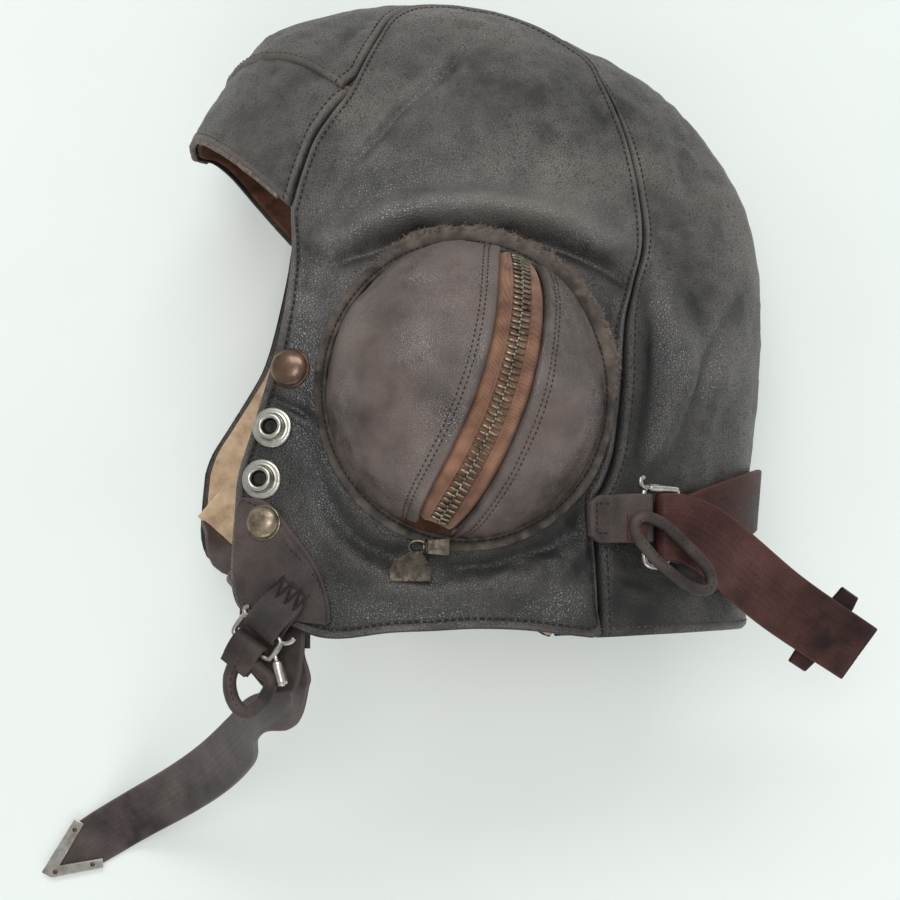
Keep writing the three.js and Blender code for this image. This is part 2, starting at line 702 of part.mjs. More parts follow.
// zip sliders and their plain pulls, on the ring at the low end of the zip
const slider_back = 10.6;
const slider_drop = 3;
const slider_at = { u: -slider_back, v: -(ear_half_tall + slider_drop) };
for (const { name, side } of sides) {
  const spot = lay_on(side, slider_at.u, slider_at.v);
  const at = (x, y, h) => spot.origin.clone().addScaledVector(spot.ex, x)
    .addScaledVector(spot.ey, y).addScaledVector(spot.n, h);
  const base = ring_thick + gap * 2 + 0.6;
  const body = slab(2, 2, (i, j, k) => at(
    mix(-5, 4, i / 2), mix(-3, 3, j / 2) * (0.7 + 0.3 * (i / 2)), k ? base + 2.4 : base,
  ));
  const eye = bar([0, 1, 2, 3, 4, 5].map((n) => {
    const g = (n * Math.PI) / 3;
    return at(-4, 2.3 * Math.cos(g), base + 3.3 + 2.3 * Math.sin(g));
  }), 0.55, 5, true, 2);
  add(`${name}_zip_slider`, join(body, eye), brass_paint);
  const ring = bar([0, 1, 2, 3, 4, 5, 6, 7].map((n) => {
    const g = (n * Math.PI) / 4;
    return at(-7 + 3 * Math.cos(g), 2 * Math.sin(g), base + 3.5);
  }), 0.5, 5, true, 2);
  const tab = slab(3, 1, (i, j, k) => {
    const y = [-1.7, -4.6, -7.8, -11.6][i];
    const x = [[-9.3, -14.6, -16.6, -16.2], [-5.6, -3.8, -1.9, -2.3]][j][i];
    return at(x, y, base + 3.5 + (y + 1.7) * 0.42 + (k ? 0.5 : -0.5));
  });
  add(`${name}_zip_pull`, join(ring, tab), brass_paint);
}

// frame of the chin fittings, on the low front corner of the left flap
const chin_spot = lay_on(1, flap_u(0.709), -0.42 * crown_rise);
const chin_off = { x: 6.2, y: -13.2 };
const chin_from = chin_spot.origin.clone().addScaledVector(chin_spot.ex, chin_off.x)
  .addScaledVector(chin_spot.ey, chin_off.y);
const chin = (x, y, h) => chin_from.clone().addScaledVector(chin_spot.ex, x)
  .addScaledVector(chin_spot.ey, y).addScaledVector(chin_spot.n, h);
const wrap = wire + gap + tab_thick / 2;
const patch_top = gap + patch_thick;
const chin_plane = patch_top + gap + tab_thick + gap + wire;

// tab folded round a bar, given along and across the tab
function folded_tab(put, long, wide, low, plane) {
  const path = [];
  const back = low + gap + tab_thick / 2;
  const front = back + tab_thick + gap;
  path.push([long, back], [long * 0.66, back], [long * 0.33, mix(back, plane - wrap, 0.6)], [2, plane - wrap]);
  for (let n = 0; n <= 6; n += 1) {
    const g = -Math.PI / 2 - (n * Math.PI) / 6;
    path.push([wrap * Math.cos(g), plane + wrap * Math.sin(g)]);
  }
  path.push([long * 0.33, mix(plane + wrap, front, 0.45)], [long * 0.6, front + 0.1], [long, front]);
  return slab(path.length - 1, 2, (i, j, k) => {
    const a = path[Math.max(0, i - 1)];
    const b = path[Math.min(path.length - 1, i + 1)];
    const len = Math.hypot(b[0] - a[0], b[1] - a[1]);
    const n = [(b[1] - a[1]) / len, -(b[0] - a[0]) / len];
    const off = (k - 0.5) * tab_thick;
    const x = (j - 1) * (wide / 2) * (path[i][0] > long * 0.9 ? 0.7 : 1);
    return put(x, path[i][0] + n[0] * off, path[i][1] + n[1] * off);
  });
}
const bar_lean = THREE.MathUtils.degToRad(-36);
const chin_tilt = (x, y) => [x * Math.cos(bar_lean) - y * Math.sin(bar_lean), x * Math.sin(bar_lean) + y * Math.cos(bar_lean)];
add('chin_tab', folded_tab((x, y, h) => {
  const [a, b] = chin_tilt(x, y);
  const flat = chin(a, b, h);
  const soft = chin_spot.at(a + chin_off.x, b + chin_off.y, h);
  return flat.lerp(soft, ramp((y - 5) / 5));
}, 17, tab_wide - 3.4, patch_top, chin_plane), leather_paint);

// chin buckle of bent wire, with a post for its roller
const chin_wire = (list) => list.map(([x, y]) => chin(...chin_tilt(x, y), chin_plane));
const buckle_half = tab_wide / 2 - 0.2;
const buckle_drop = 7.9;
const frame_ring = bar(chin_wire([
  [-buckle_half, -0.9], [-buckle_half + 1, 0], [buckle_half - 1, 0], [buckle_half, -0.9],
  [buckle_half, -buckle_drop + 0.9], [buckle_half - 1, -buckle_drop],
  [-buckle_half + 1, -buckle_drop], [-buckle_half, -buckle_drop + 0.9],
]), wire, 6, true, 2);
const hook_left = bar(chin_wire([[-buckle_half + 0.6, -0.5], [-buckle_half - 0.8, 2.6]]), wire, 6, false, 1);
const hook_right = bar(chin_wire([[buckle_half - 0.6, -0.5], [buckle_half + 3.4, 3.4]]), wire, 6, false, 1);
const roller_top = chin_tilt(buckle_half, -4.5);
const roller_way = [roller_top[0] + 3.4, roller_top[1] - 11.5];
const post = bar([chin(...roller_top, chin_plane), chin(...roller_way, chin_plane)], 0.8, 6, false, 1);
add('chin_buckle', join(frame_ring, hook_left, hook_right, post), nickel_paint);
const roller_dir = chin(...roller_way, 0).sub(chin(...roller_top, 0));
const roller_long = roller_dir.length();
roller_dir.normalize();
const roller = new THREE.LatheGeometry([[1.15, 3.2], [1.9, 3.2], [1.9, roller_long - 0.4], [1.15, roller_long - 0.4], [1.15, 3.2]]
  .map(([r, h]) => new THREE.Vector2(r, h)), 10);
roller.deleteAttribute('normal');
roller.deleteAttribute('uv');
roller.applyQuaternion(new THREE.Quaternion().setFromUnitVectors(vec(0, 1, 0), roller_dir));
const roller_from = chin(...roller_top, chin_plane);
roller.translate(roller_from.x, roller_from.y, roller_from.z);
add('chin_roller', mergeVertices(roller, 1e-4), nickel_paint);

// rolled pull loop on a strip folded round the buckle's low bar
const strip_wide = 12.4;
const strip = folded_strip(9.5);
function folded_strip(long) {
  const path = [];
  path.push([-long, -0.95], [-long * 0.6, -1.5], [-2, -wrap]);
  for (let n = 0; n <= 6; n += 1) {
    const g = -Math.PI / 2 + (n * Math.PI) / 6;
    path.push([wrap * Math.cos(g), wrap * Math.sin(g)]);
  }
  path.push([-2, wrap], [-long * 0.6, 1.5], [-long, 0.95]);
  return slab(path.length - 1, 1, (i, j, k) => {
    const a = path[Math.max(0, i - 1)];
    const b = path[Math.min(path.length - 1, i + 1)];
    const len = Math.hypot(b[0] - a[0], b[1] - a[1]);
    const off = (k - 0.5) * tab_thick;
    const y = path[i][0] + ((b[1] - a[1]) / len) * off;
    const h = path[i][1] - ((b[0] - a[0]) / len) * off;
    return chin(...chin_tilt((j - 0.5) * strip_wide - 0.6, y - buckle_drop), chin_plane + h);
  });
}
const loop_way = [[-8, -10.2], [-12.2, -17], [-10.8, -25.1], [-6.2, -29], [-0.4, -25.5], [3, -18.2], [-0.2, -15.2]];
const pull = bar(loop_way.map(([x, y]) => chin(x, y, chin_plane)), loop_thick / 2, 7, true, 2);
add('chin_pull_loop', join(strip, pull), strap_paint);

// dark tongue behind the buckle and the keeper on its back
const under = -(leather + gap + lining + gap + 0.1);
const backing_way = [
  { y: 11, lo: -13.4, hi: 11 }, { y: 5, lo: -13.4, hi: 11.6 }, { y: -3, lo: -13.2, hi: 11.6 }, { y: -10, lo: -12.6, hi: 11 },
  { y: -17, lo: -7, hi: 10 }, { y: -21, lo: -3, hi: 8.4 }, { y: -22.6, lo: 0.4, hi: 6 },
];
add('chin_backing', slab(backing_way.length - 1, 2, (i, j, k) => {
  const l = backing_way[i];
  const x = mix(l.lo, l.hi, j / 2);
  const h = under - (k ? 0 : backing_thick);
  return chin(x, l.y, h).lerp(chin_spot.at(x + chin_off.x, l.y + chin_off.y, h), ramp((l.y - 1) / 4));
}), leather_paint);
const keeper_thick = 0.8;
const strap_deep = under - backing_thick - gap - keeper_thick - gap - strap_thick / 2;
const keeper_mid = -0.95;
const keeper_ring = [[-1, 1], [0, 1], [1, 1], [1, -1], [0, -1], [-1, -1]];
add('chin_keeper', slab(keeper_ring.length, 1, (i, j, k) => {
  const [a, b] = keeper_ring[i % keeper_ring.length];
  const grow = gap + k * keeper_thick;
  return chin(keeper_mid + a * (chin_strap_wide / 2 + grow), -1 - 6 * j, strap_deep + b * (strap_thick / 2 + grow));
}, true), strap_paint);

// chin strap: sewn to the right flap, across to the left, free end on the surface
const on_flap = under - 1.5 - strap_thick / 2;
const flap_from = lay_on(-1, flap_u(0.145), -0.3 * crown_rise);
const flap_to = lay_on(-1, flap_u(0.689), -0.4 * crown_rise);
const flap_mid = lay_on(-1, flap_u(0.427), -0.35 * crown_rise);
const flap_way = flap_to.origin.clone().sub(flap_from.origin).normalize();
const flap_side = flap_to.n.clone().cross(flap_way).normalize();
const station = (at, side, wide = chin_strap_wide) => ({ at, side, wide });
const route = (along, up, high) => vec(along * half_length, up * crown_rise, high * lift);
const table_route = (along, up) => vec(along * half_length, up * crown_rise, strap_thick / 2 + 0.05);
const strap_end = table_route(-1.589, -1.175);
const strap_point = 2.6;
const chin_path = [
  station(flap_from.at(0, 0, on_flap), flap_side),
  station(flap_mid.at(0, 0, on_flap), flap_side),
  station(flap_to.at(0, 0, on_flap), flap_side),
  station(route(-0.795, -0.331, 0.806), vec(0.3, -0.93, 0.2)),
  station(route(-0.750, -0.361, 1.250), vec(0.3, -0.95, 0)),
  station(route(-0.696, -0.386, 1.667), vec(0.6, -0.75, -0.3)),
  station(chin(keeper_mid - 1.5, 10, strap_deep - 6.5), chin_spot.ex.clone().addScaledVector(chin_spot.ey, -0.15)),
  station(chin(keeper_mid, 1.5, strap_deep - 0.3), chin_spot.ex),
  station(chin(keeper_mid, -4, strap_deep), chin_spot.ex),
  station(chin(keeper_mid + 0.2, -9.5, strap_deep - 0.4), chin_spot.ex),
  station(chin(keeper_mid + 2.5, -17, strap_deep - 6.8), chin_spot.ex.clone().addScaledVector(chin_spot.n, 0.6)),
  station(chin(keeper_mid + 2.5, -26, strap_deep - 12.5), chin_spot.ex.clone().addScaledVector(chin_spot.n, 2.2)),
  station(route(-0.658, -0.668, 1.569), vec(0.38, -0.2, 0.9)),
  station(route(-0.730, -0.731, 1.319), vec(0.55, -0.45, 0.71)),
  station(route(-0.857, -0.823, 0.917), vec(0.6, -0.68, 0.41)),
  station(route(-1.022, -0.916, 0.500), vec(0.58, -0.78, 0.2)),
  station(route(-1.214, -1.006, 0.160), vec(0.57, -0.82, 0.06)),
  station(route(-1.321, -1.054, 0.036), vec(0.565, -0.826, 0)),
  station(table_route(-1.42, -1.096), vec(0.565, -0.826, 0), chin_strap_wide - 0.6),
  station(strap_end, vec(0.565, -0.826, 0), strap_point),
];
add('chin_strap', band(chin_path, strap_thick - 0.1, 2, 1), strap_paint);

// V-shaped metal tip over the pointed end
const tip_z = strap_thick + gap;
const tip_shape = new THREE.Shape([[-3, 0], [1.5, -2.5], [24, 1.8], [24, 6.2], [4.8, 3], [15.7, 21.4], [11.5, 23.4]]
  .map(([x, y]) => new THREE.Vector2(strap_end.x + x, strap_end.y + y)));
const tip = new THREE.ExtrudeGeometry(tip_shape, { depth: tip_thick, bevelEnabled: false });
tip.translate(0, 0, tip_z);
tip.deleteAttribute('normal');
tip.deleteAttribute('uv');
add('chin_strap_tip', mergeVertices(tip, 1e-4), nickel_paint);

// nape fittings: tab, buckle, pull loop and the strap round the nape
const nape_uv = { u: 0.604 * half_length, v: -0.254 * crown_rise };
const nape_mid = -6.5;
const nape_origin = skin_at(1, nape_uv.u, nape_uv.v + nape_mid, leather);
const nape_n = nape_origin.clone().sub(skin_at(1, nape_uv.u, nape_uv.v + nape_mid, 0)).normalize();
const nape_ex = vec(1, 0, 0).addScaledVector(nape_n, -nape_n.x).normalize();
const nape_ey = nape_n.clone().cross(nape_ex);
const nape = (x, y, h) => nape_origin.clone().addScaledVector(nape_ex, x)
  .addScaledVector(nape_ey, y - nape_mid).addScaledVector(nape_n, h);
const nape_plane = 6.9;
const nape_left = -9.3;
const nape_right = -0.4;
const nape_half = nape_strap_wide / 2 + gap + wire + 0.2;
add('nape_tab', folded_tab((x, y, h) => nape(nape_left - y, x - 3.8, h)
  .lerp(skin_at(1, nape_uv.u + (nape_left - y) * 0.88, nape_uv.v + x - 3.8, leather + h), ramp((y - 4) / 8)), 20, 17, 0.5, nape_plane), leather_paint);
const nape_wire = (list) => list.map(([x, y]) => nape(x, y, nape_plane));
const nape_ring = bar(nape_wire([
  [nape_left, nape_mid + nape_half - 1.5], [nape_left + 1.5, nape_mid + nape_half],
  [nape_right - 1.5, nape_mid + nape_half], [nape_right, nape_mid + nape_half - 1.5],
  [nape_right, nape_mid], [nape_right, nape_mid - nape_half + 1.5], [nape_right - 1.5, nape_mid - nape_half],
  [nape_left + 1.5, nape_mid - nape_half], [nape_left, nape_mid - nape_half + 1.5], [nape_left, nape_mid],
]), wire, 6, true, 2);
const nape_prong = bar(nape_wire([[nape_right - 1.2, nape_mid + nape_half - 0.2], [nape_right + 5, nape_mid + nape_half - 0.8]]), wire, 6, false, 1);
add('nape_buckle', join(nape_ring, nape_prong), nickel_paint);
const nape_loop_way = [
  [-13.5, -4, 12.9], [-6, -6, 13.2], [4, -14, 14.4], [11.5, -22, 15.6], [12, -27.5, 15.8], [7.5, -29, 15.6],
  [-2, -24.5, 14.4], [-11, -17, 13.2], [-16.5, -10.5, 12.8], [-17, -6, 12.8],
];
const nape_pull = bar(nape_loop_way.map(([x, y, h]) => nape(x, y, h)), nape_loop_thick / 2, 7, true, 2);
const nape_pad = slab(1, 1, (i, j, k) => nape(-19 + 8 * i, -12.5 + 9 * j, nape_plane + wrap + tab_thick / 2 - gap + (k ? tab_thick : 0)));
add('nape_pull_loop', join(nape_pull, nape_pad), strap_paint);

// strap from the right side round the nape, folded back over the buckle
const strap_wrap = wire + gap + strap_thick / 2;
const nape_path = [];
const nape_start = 9;
const nape_gap = 3.4;
const round_from = turn_of(nape_uv.u + nape_start, nape_uv.v + nape_mid);
const nape_low = nape_uv.v + nape_mid;
const nape_mid_up = -0.183 * crown_rise;
const nape_steps = 10;
for (let i = 0; i <= nape_steps; i += 1) {
  const b = mix(Math.PI - round_from, round_from, i / nape_steps);
  const x = Math.cos(b) / Math.cos(round_from);
  const a = angle_at(b, mix(nape_mid_up, nape_low, x * x));
  const at = skin(a, b, leather + nape_gap);
  const ahead = skin(angle_at(b - 0.01, mix(nape_mid_up, nape_low, x * x)), b - 0.01, leather + nape_gap);
  const n = at.clone().sub(skin(a, b, 0)).normalize();
  nape_path.push(station(at, ahead.sub(at).cross(n).normalize(), nape_strap_wide));
}
const lap = (x, h, y = nape_mid) => station(nape(x, y, h), nape_ey, nape_strap_wide);
nape_path.push(lap(3, nape_plane - strap_wrap));
for (let n = 0; n <= 4; n += 1) {
  const g = -Math.PI / 2 - (n * Math.PI) / 4;
  nape_path.push(lap(nape_right + strap_wrap * Math.cos(g), nape_plane + strap_wrap * Math.sin(g)));
}
nape_path.push(lap(4, nape_plane + strap_wrap + 0.1));
const free_side = vec(0.52, 0.85, 0.1);
const free_from = route(1.089, -0.392, 1.625);
const free_end = route(1.398, -0.527, 1.292);
nape_path.push(
  station(nape(14, nape_mid - 3.6, nape_plane + strap_wrap + 1.2), nape_ey.clone().lerp(free_side, 0.4), nape_strap_wide),
  station(free_from, free_side, nape_strap_wide),
  station(free_end, free_side, nape_strap_wide),
);
add('nape_strap', band(nape_path, strap_thick, 2, 1), strap_paint);

// short cross stop under the free end, and the tab over the far end
const end_way = free_end.clone().sub(free_from).normalize();
const end_side = free_side.clone().addScaledVector(end_way, -free_side.dot(end_way)).normalize();
const end_up = end_side.clone().cross(end_way).normalize();
if (end_up.z < 0) end_up.negate();
const stop_back = 19;
const stop_long = 35;
const stop_wide = 12;
const stop_mid = free_end.clone().addScaledVector(end_way, -stop_back)
  .addScaledVector(end_up, -(strap_thick + gap + 0.5));
add('nape_strap_stop', slab(1, 1, (i, j, k) => stop_mid.clone().addScaledVector(end_way, stop_wide * (i - 0.5))
  .addScaledVector(end_side, stop_long * (j - 0.5)).addScaledVector(end_up, (k - 0.5) * strap_thick)), strap_paint);
const far_end = nape_uv.u + nape_start;
const far_rise = nape_gap + strap_thick / 2 + gap * 4;
const far_rows = [6, -2.6, -7, -11, -15];
add('right_nape_tab', slab(far_rows.length - 1, 2, (i, j, k) => {
  const u = far_end + far_rows[i];
  const low = i < 2 ? far_rise : gap * 2;
  return skin_at(-1, u, nape_low + (j - 1) * tab_wide / 2, leather + low + (k ? tab_thick : 0));
}), leather_paint);

// origin on the table, under the flat front half of the right ear cup
helmet.position.set(-rest_point.x, -rest_point.y, 0);

export default helmet;
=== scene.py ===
# Leather flying helmet lying on its right side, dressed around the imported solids.
# Lengths below are millimetres in the helmet's own coordinates; place() turns them into metres.
import math

import bmesh
import bpy
import numpy as np
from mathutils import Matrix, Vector


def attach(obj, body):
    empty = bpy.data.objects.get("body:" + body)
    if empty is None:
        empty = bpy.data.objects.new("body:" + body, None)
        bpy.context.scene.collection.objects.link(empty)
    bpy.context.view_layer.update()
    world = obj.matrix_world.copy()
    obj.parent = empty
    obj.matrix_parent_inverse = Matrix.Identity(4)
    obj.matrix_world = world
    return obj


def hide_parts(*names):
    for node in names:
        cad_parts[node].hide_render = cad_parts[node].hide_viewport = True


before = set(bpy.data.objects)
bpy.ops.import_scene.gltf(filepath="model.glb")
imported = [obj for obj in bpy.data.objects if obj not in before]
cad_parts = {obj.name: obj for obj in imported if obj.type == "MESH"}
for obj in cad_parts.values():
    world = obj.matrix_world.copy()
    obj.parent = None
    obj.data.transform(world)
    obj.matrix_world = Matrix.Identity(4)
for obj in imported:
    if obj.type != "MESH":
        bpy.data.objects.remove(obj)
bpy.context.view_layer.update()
rng = np.random.default_rng(41)

# driving sizes of the head, the leather and the ear cups
HALF_LENGTH, CROWN_RISE, HALF_WIDTH = 112.0, 166.0, 75.0
ROUND_SHARE, CURTAIN_REACH = 2.3, 320.0
LEATHER, LINING, GAP = 1.8, 1.2, 0.35
EAR_HALF_WIDE, EAR_HALF_TALL, RING_WIDTH = 50.0, 54.0, 4.2
DOME_HEIGHT, DOME_LEATHER, DOME_POWER = 34.0, 2.0, 2.4
ZIP_LEAN, ZIP_SLOT, ZIP_SHIFT, ZIP_BOW = math.radians(18.6), 17.0, 3.2, 9.0
CHIN_STRAP_WIDE, NAPE_STRAP_WIDE, STRAP_THICK = 22.0, 24.0, 2.0

# how the soft helmet lies on the table
LIFT = 72.0
CROWN_DIP, REAR_DIP = math.radians(9.4), math.radians(3.4)
PRESS_IN, PRESS_REACH = 30.0, 75.0
FLAP_SWING, FLAP_RAISE, BROW_RAISE = 22.0, 30.0, 16.0
SKIN_SOFT, CUP_SOFT, FAR_CUP_EASE, SKIN_LOW = 12.0, 2.0, 0.986, 0.95
REST_POINT = np.array([-18.0, -4.0, 0.0])

# the photograph's camera, in helmet coordinates, for a 900 pixel frame
CAMERA = np.array([-1.0, -9.0, 730.0])
FOCAL_PX, FRAME_PX = 1650.0, 900.0

MIDPLANE = [
    (-0.929, 0.675), (-0.857, 0.77), (-0.78, 0.845), (-0.652, 0.945), (-0.42, 1.005), (-0.09, 1.03),
    (0.464, 0.925), (0.774, 0.785), (0.995, 0.57), (1.076, 0.4), (1.085, 0.22), (1.05, -0.018),
    (1.005, -0.26), (0.991, -0.47), (0.964, -0.88), (0.786, -1.48), (-0.018, -1.78), (-0.911, -1.48),
    (-1.134, -0.578), (-1.179, -0.277), (-1.179, 0.024), (-1.134, 0.325),
]
SEAM = [
    (-0.555, 0.422), (-0.525, 0.5), (-0.482, 0.585), (-0.425, 0.65), (-0.366, 0.712), (-0.277, 0.849),
    (-0.188, 0.955), (-0.02, 1.0), (0.223, 0.965), (0.446, 0.855), (0.5, 0.765), (0.554, 0.638),
    (0.589, 0.494), (0.598, 0.365), (0.568, 0.268), (0.53, 0.175), (0.518, 0.1), (0.509, 0.024),
    (0.494, -0.058), (0.473, -0.139), (0.44, -0.2), (0.403, -0.253), (0.408, -0.38), (0.413, -0.512),
]
BROW_ROWS = 4
FREE_EDGE = [
    (0.413, -0.512), (0.29, -0.502), (0.17, -0.492), (0.03, -0.488), (-0.1, -0.492), (-0.232, -0.496),
    (-0.402, -0.508), (-0.571, -0.488), (-0.692, -0.466), (-0.731, -0.412), (-0.732, -0.335),
    (-0.724, -0.255), (-0.714, -0.175), (-0.677, -0.09), (-0.634, 0.006), (-0.596, 0.1),
    (-0.567, 0.208), (-0.55, 0.32), (-0.555, 0.422),
]


# small maths helpers
def ramp(x):
    """smooth step from 0 to 1"""
    t = np.clip(x, 0.0, 1.0)
    return t * t * (3.0 - 2.0 * t)


def mix(a, b, t):
    """a at t 0, b at t 1"""
    return a + (b - a) * t


def unit(v):
    """direction of a vector, or of each vector in a grid"""
    return v / np.maximum(np.linalg.norm(v, axis=-1, keepdims=True), 1e-12)


def vec(*v):
    return np.array(v, float)


def hump(x, wide, at=0.0):
    """smooth rise to 1 at one place"""
    return np.exp(-((x - at) / wide) ** 2)


def rolled(rim, radius):
    """drop of a rounded edge, 1 at the rim and 0 from the radius inward"""
    return 1 - np.sqrt(np.clip(1 - (1 - np.clip(rim / radius, 0, 1)) ** 2, 0, 1))


def eased(count):
    """places from -1 to 1, closer together at both ends"""
    return np.sin(np.linspace(-1, 1, count) * math.pi / 2)


def run_along(line):
    """length along a line up to each of its points"""
    return np.r_[0, np.cumsum(np.linalg.norm(np.diff(line, axis=0), axis=1))]


def sample(at, run, values):
    """values of a line at some lengths along it"""
    return np.stack([np.interp(at, run, values[:, k]) for k in range(values.shape[1])], axis=1)


def above_table(top, low, top_floor, low_floor):
    """lift the points of two grids that lie under their floors"""
    top[..., 2] = np.maximum(top[..., 2], top_floor)
    low[..., 2] = np.maximum(low[..., 2], low_floor)


def stack(x, y, z):
    """points from their three coordinates"""
    x, y, z = np.broadcast_arrays(x, y, z)
    return np.stack([x, y, z], axis=-1).astype(float)


def place(p):
    """helmet millimetres to row metres"""
    return (np.asarray(p, float) - REST_POINT) / 1000.0


def spline(points, count):
    """evenly spaced points on a Catmull-Rom curve through the given points"""
    p = np.array(points, float)
    p = np.vstack([2 * p[0] - p[1], p, 2 * p[-1] - p[-2]])
    out = []
    for i in range(1, len(p) - 2):
        t = np.linspace(0, 1, 24, endpoint=False)[:, None]
        a, b, c, d = p[i - 1], p[i], p[i + 1], p[i + 2]
        out.append(0.5 * (2 * b + (c - a) * t + (2 * a - 5 * b + 4 * c - d) * t ** 2
                          + (3 * b - a - 3 * c + d) * t ** 3))
    out.append(p[-2][None, :])
    dense = np.vstack(out)
    step = run_along(dense)
    want = np.linspace(0, step[-1], count)
    return sample(want, step, dense)


# noise that is the same each run
def noise(p, scale, seed=0):
    """value from -1 to 1 that changes smoothly from place to place"""
    q = np.asarray(p, float) / scale
    i = np.floor(q).astype(np.int64)
    f = q - i
    w = f * f * (3 - 2 * f)
    total = np.zeros(q.shape[:-1])
    for corner in range(8):
        bit = np.array([(corner >> k) & 1 for k in range(3)])
        c = i + bit
        h = (c[..., 0] * 73856093) ^ (c[..., 1] * 19349663) ^ (c[..., 2] * 83492791) ^ (seed * 2654435761)
        h = ((h & 0xFFFFFFFF) ^ ((h & 0xFFFFFFFF) >> 13)) * 1274126177 & 0xFFFFFFFF
        value = (h ^ (h >> 16)) / 4294967296.0 * 2 - 1
        share = np.prod(np.where(bit, w, 1 - w), axis=-1)
        total = total + value * share
    return total


def layered(p, scale, seed=0, octaves=3):
    """noise with finer and weaker noise on top"""
    return sum(noise(p, scale / 2 ** n, seed + n) * 0.5 ** n for n in range(octaves))


# head surface, the same rules as the solids follow
def plain_reach(a):
    """distance from the head's axis at a side angle, before the midplane outline shapes it"""
    tall = np.where(np.sin(a) > 0, CROWN_RISE, CURTAIN_REACH)
    return 1 / np.hypot(np.cos(a) / HALF_LENGTH, np.sin(a) / tall)


def wrap_angle(a):
    return np.mod(a + math.pi / 2, 2 * math.pi) - math.pi / 2


def reach_table():
    """angle, factor and slope of each row of the midplane outline"""
    rows = []
    for along, up in MIDPLANE:
        a = float(wrap_angle(math.atan2(up * CROWN_RISE, along * HALF_LENGTH)))
        rows.append((a, math.hypot(along * HALF_LENGTH, up * CROWN_RISE) / float(plain_reach(a))))
    rows.sort()
    rows = [(rows[-1][0] - 2 * math.pi, rows[-1][1])] + rows + [(rows[0][0] + 2 * math.pi, rows[0][1])]
    a = np.array([r[0] for r in rows])
    k = np.array([r[1] for r in rows])
    lo = np.maximum(np.arange(len(a)) - 1, 0)
    hi = np.minimum(np.arange(len(a)) + 1, len(a) - 1)
    return a, k, (k[hi] - k[lo]) / (a[hi] - a[lo])


REACH_A, REACH_K, REACH_S = reach_table()


def reach(angle):
    """distance from the head's axis to the midplane outline at a side angle"""
    a = wrap_angle(np.asarray(angle, float))
    i = np.clip(np.searchsorted(REACH_A, a) - 1, 0, len(REACH_A) - 2)
    h = REACH_A[i + 1] - REACH_A[i]
    t = (a - REACH_A[i]) / h
    k = ((2 * t ** 3 - 3 * t ** 2 + 1) * REACH_K[i] + (t ** 3 - 2 * t ** 2 + t) * h * REACH_S[i]
         + (3 * t ** 2 - 2 * t ** 3) * REACH_K[i + 1] + (t ** 3 - t ** 2) * h * REACH_S[i + 1])
    return k * plain_reach(a)


def head(a, b):
    """head before it lies down: side angle a, and turn b from the left ear over the top to the right"""
    r = reach(a) * np.abs(np.sin(b)) ** (2 / ROUND_SHARE)
    c = np.cos(b)
    w = HALF_WIDTH * np.sign(c) * np.abs(c) ** (2 / ROUND_SHARE)
    return stack(r * np.cos(a), r * np.sin(a), w)


def turn_of(u, v):
    """turn of the head point over a place on the left side"""
    t = np.minimum(1, np.hypot(u, v) / reach(np.arctan2(v, u)))
    return np.arcsin(t ** (ROUND_SHARE / 2))


def lay(p):
    """swing the flap and the brow, press the far side flat and lean the head as it lies"""
    x, y, z = p[..., 0], p[..., 1], p[..., 2]
    s = np.maximum(0, -z / HALF_WIDTH)
    far = ramp(s / 0.6)
    flap = np.clip((95 - y) / 135, 0, 1) * ramp((25 - x) / 80) * far
    brow = ramp((-10 - x) / 50) * ramp((y - 15) / 45) * far
    u = x - FLAP_SWING * flap
    v = y + FLAP_RAISE * flap + BROW_RAISE * brow
    bump = np.exp(-(u * u + v * v) / PRESS_REACH ** 2)
    w = z + PRESS_IN * bump * np.minimum(1, s) ** 2
    up = v * math.cos(CROWN_DIP) + w * math.sin(CROWN_DIP)
    h = w * math.cos(CROWN_DIP) - v * math.sin(CROWN_DIP)
    side = u * math.cos(REAR_DIP) + h * math.sin(REAR_DIP)
    return stack(side, up, h * math.cos(REAR_DIP) - u * math.sin(REAR_DIP) + LIFT)


def rest(p, low, k):
    """stop the points at the table, softly over the height k"""
    h = p[..., 2] - low
    z = np.where(h > k, h, np.where(h < -k, 0, (h + k) ** 2 / (4 * k)))
    return stack(p[..., 0], p[..., 1], low + z)


def angle_at(b, up):
    """side angle at which the head reaches a height, over its rear half"""
    lo, hi = np.full(np.shape(up), -1.3), np.full(np.shape(up), 0.8)
    for _ in range(30):
        m = (lo + hi) / 2
        below = head(m, b)[..., 1] < up
        lo, hi = np.where(below, m, lo), np.where(below, hi, m)
    return (lo + hi) / 2


def skin_base(a, b):
    return rest(lay(head(a, b)), SKIN_LOW, SKIN_SOFT)


def skin_normal(a, b):
    e = 0.002
    across = skin_base(a, b + e) - skin_base(a, b - e)
    around = skin_base(a + e, b) - skin_base(a - e, b)
    return unit(np.cross(across, around))


def skin(a, b, d):
    return skin_base(a, b) + skin_normal(a, b) * np.asarray(d)[..., None]


def skin_at(side, u, v, d):
    """point over a place of one side, d outside the head"""
    b = turn_of(u, v)
    return skin(np.arctan2(v, u), b if side > 0 else math.pi - b, d)


def shifted(a, b, distance):
    """turn moved by a distance along the skin"""
    e = 0.002
    per = np.linalg.norm(skin_base(a, b + e) - skin_base(a, b - e), axis=-1) / (2 * e)
    return b + distance / per


def hole_turn(a, grow):
    """turn on the rim of the ear opening, grown by a distance"""
    k = np.hypot(np.cos(a) / (EAR_HALF_WIDE + grow), np.sin(a) / (EAR_HALF_TALL + grow))
    return turn_of(np.cos(a) / k, np.sin(a) / k)


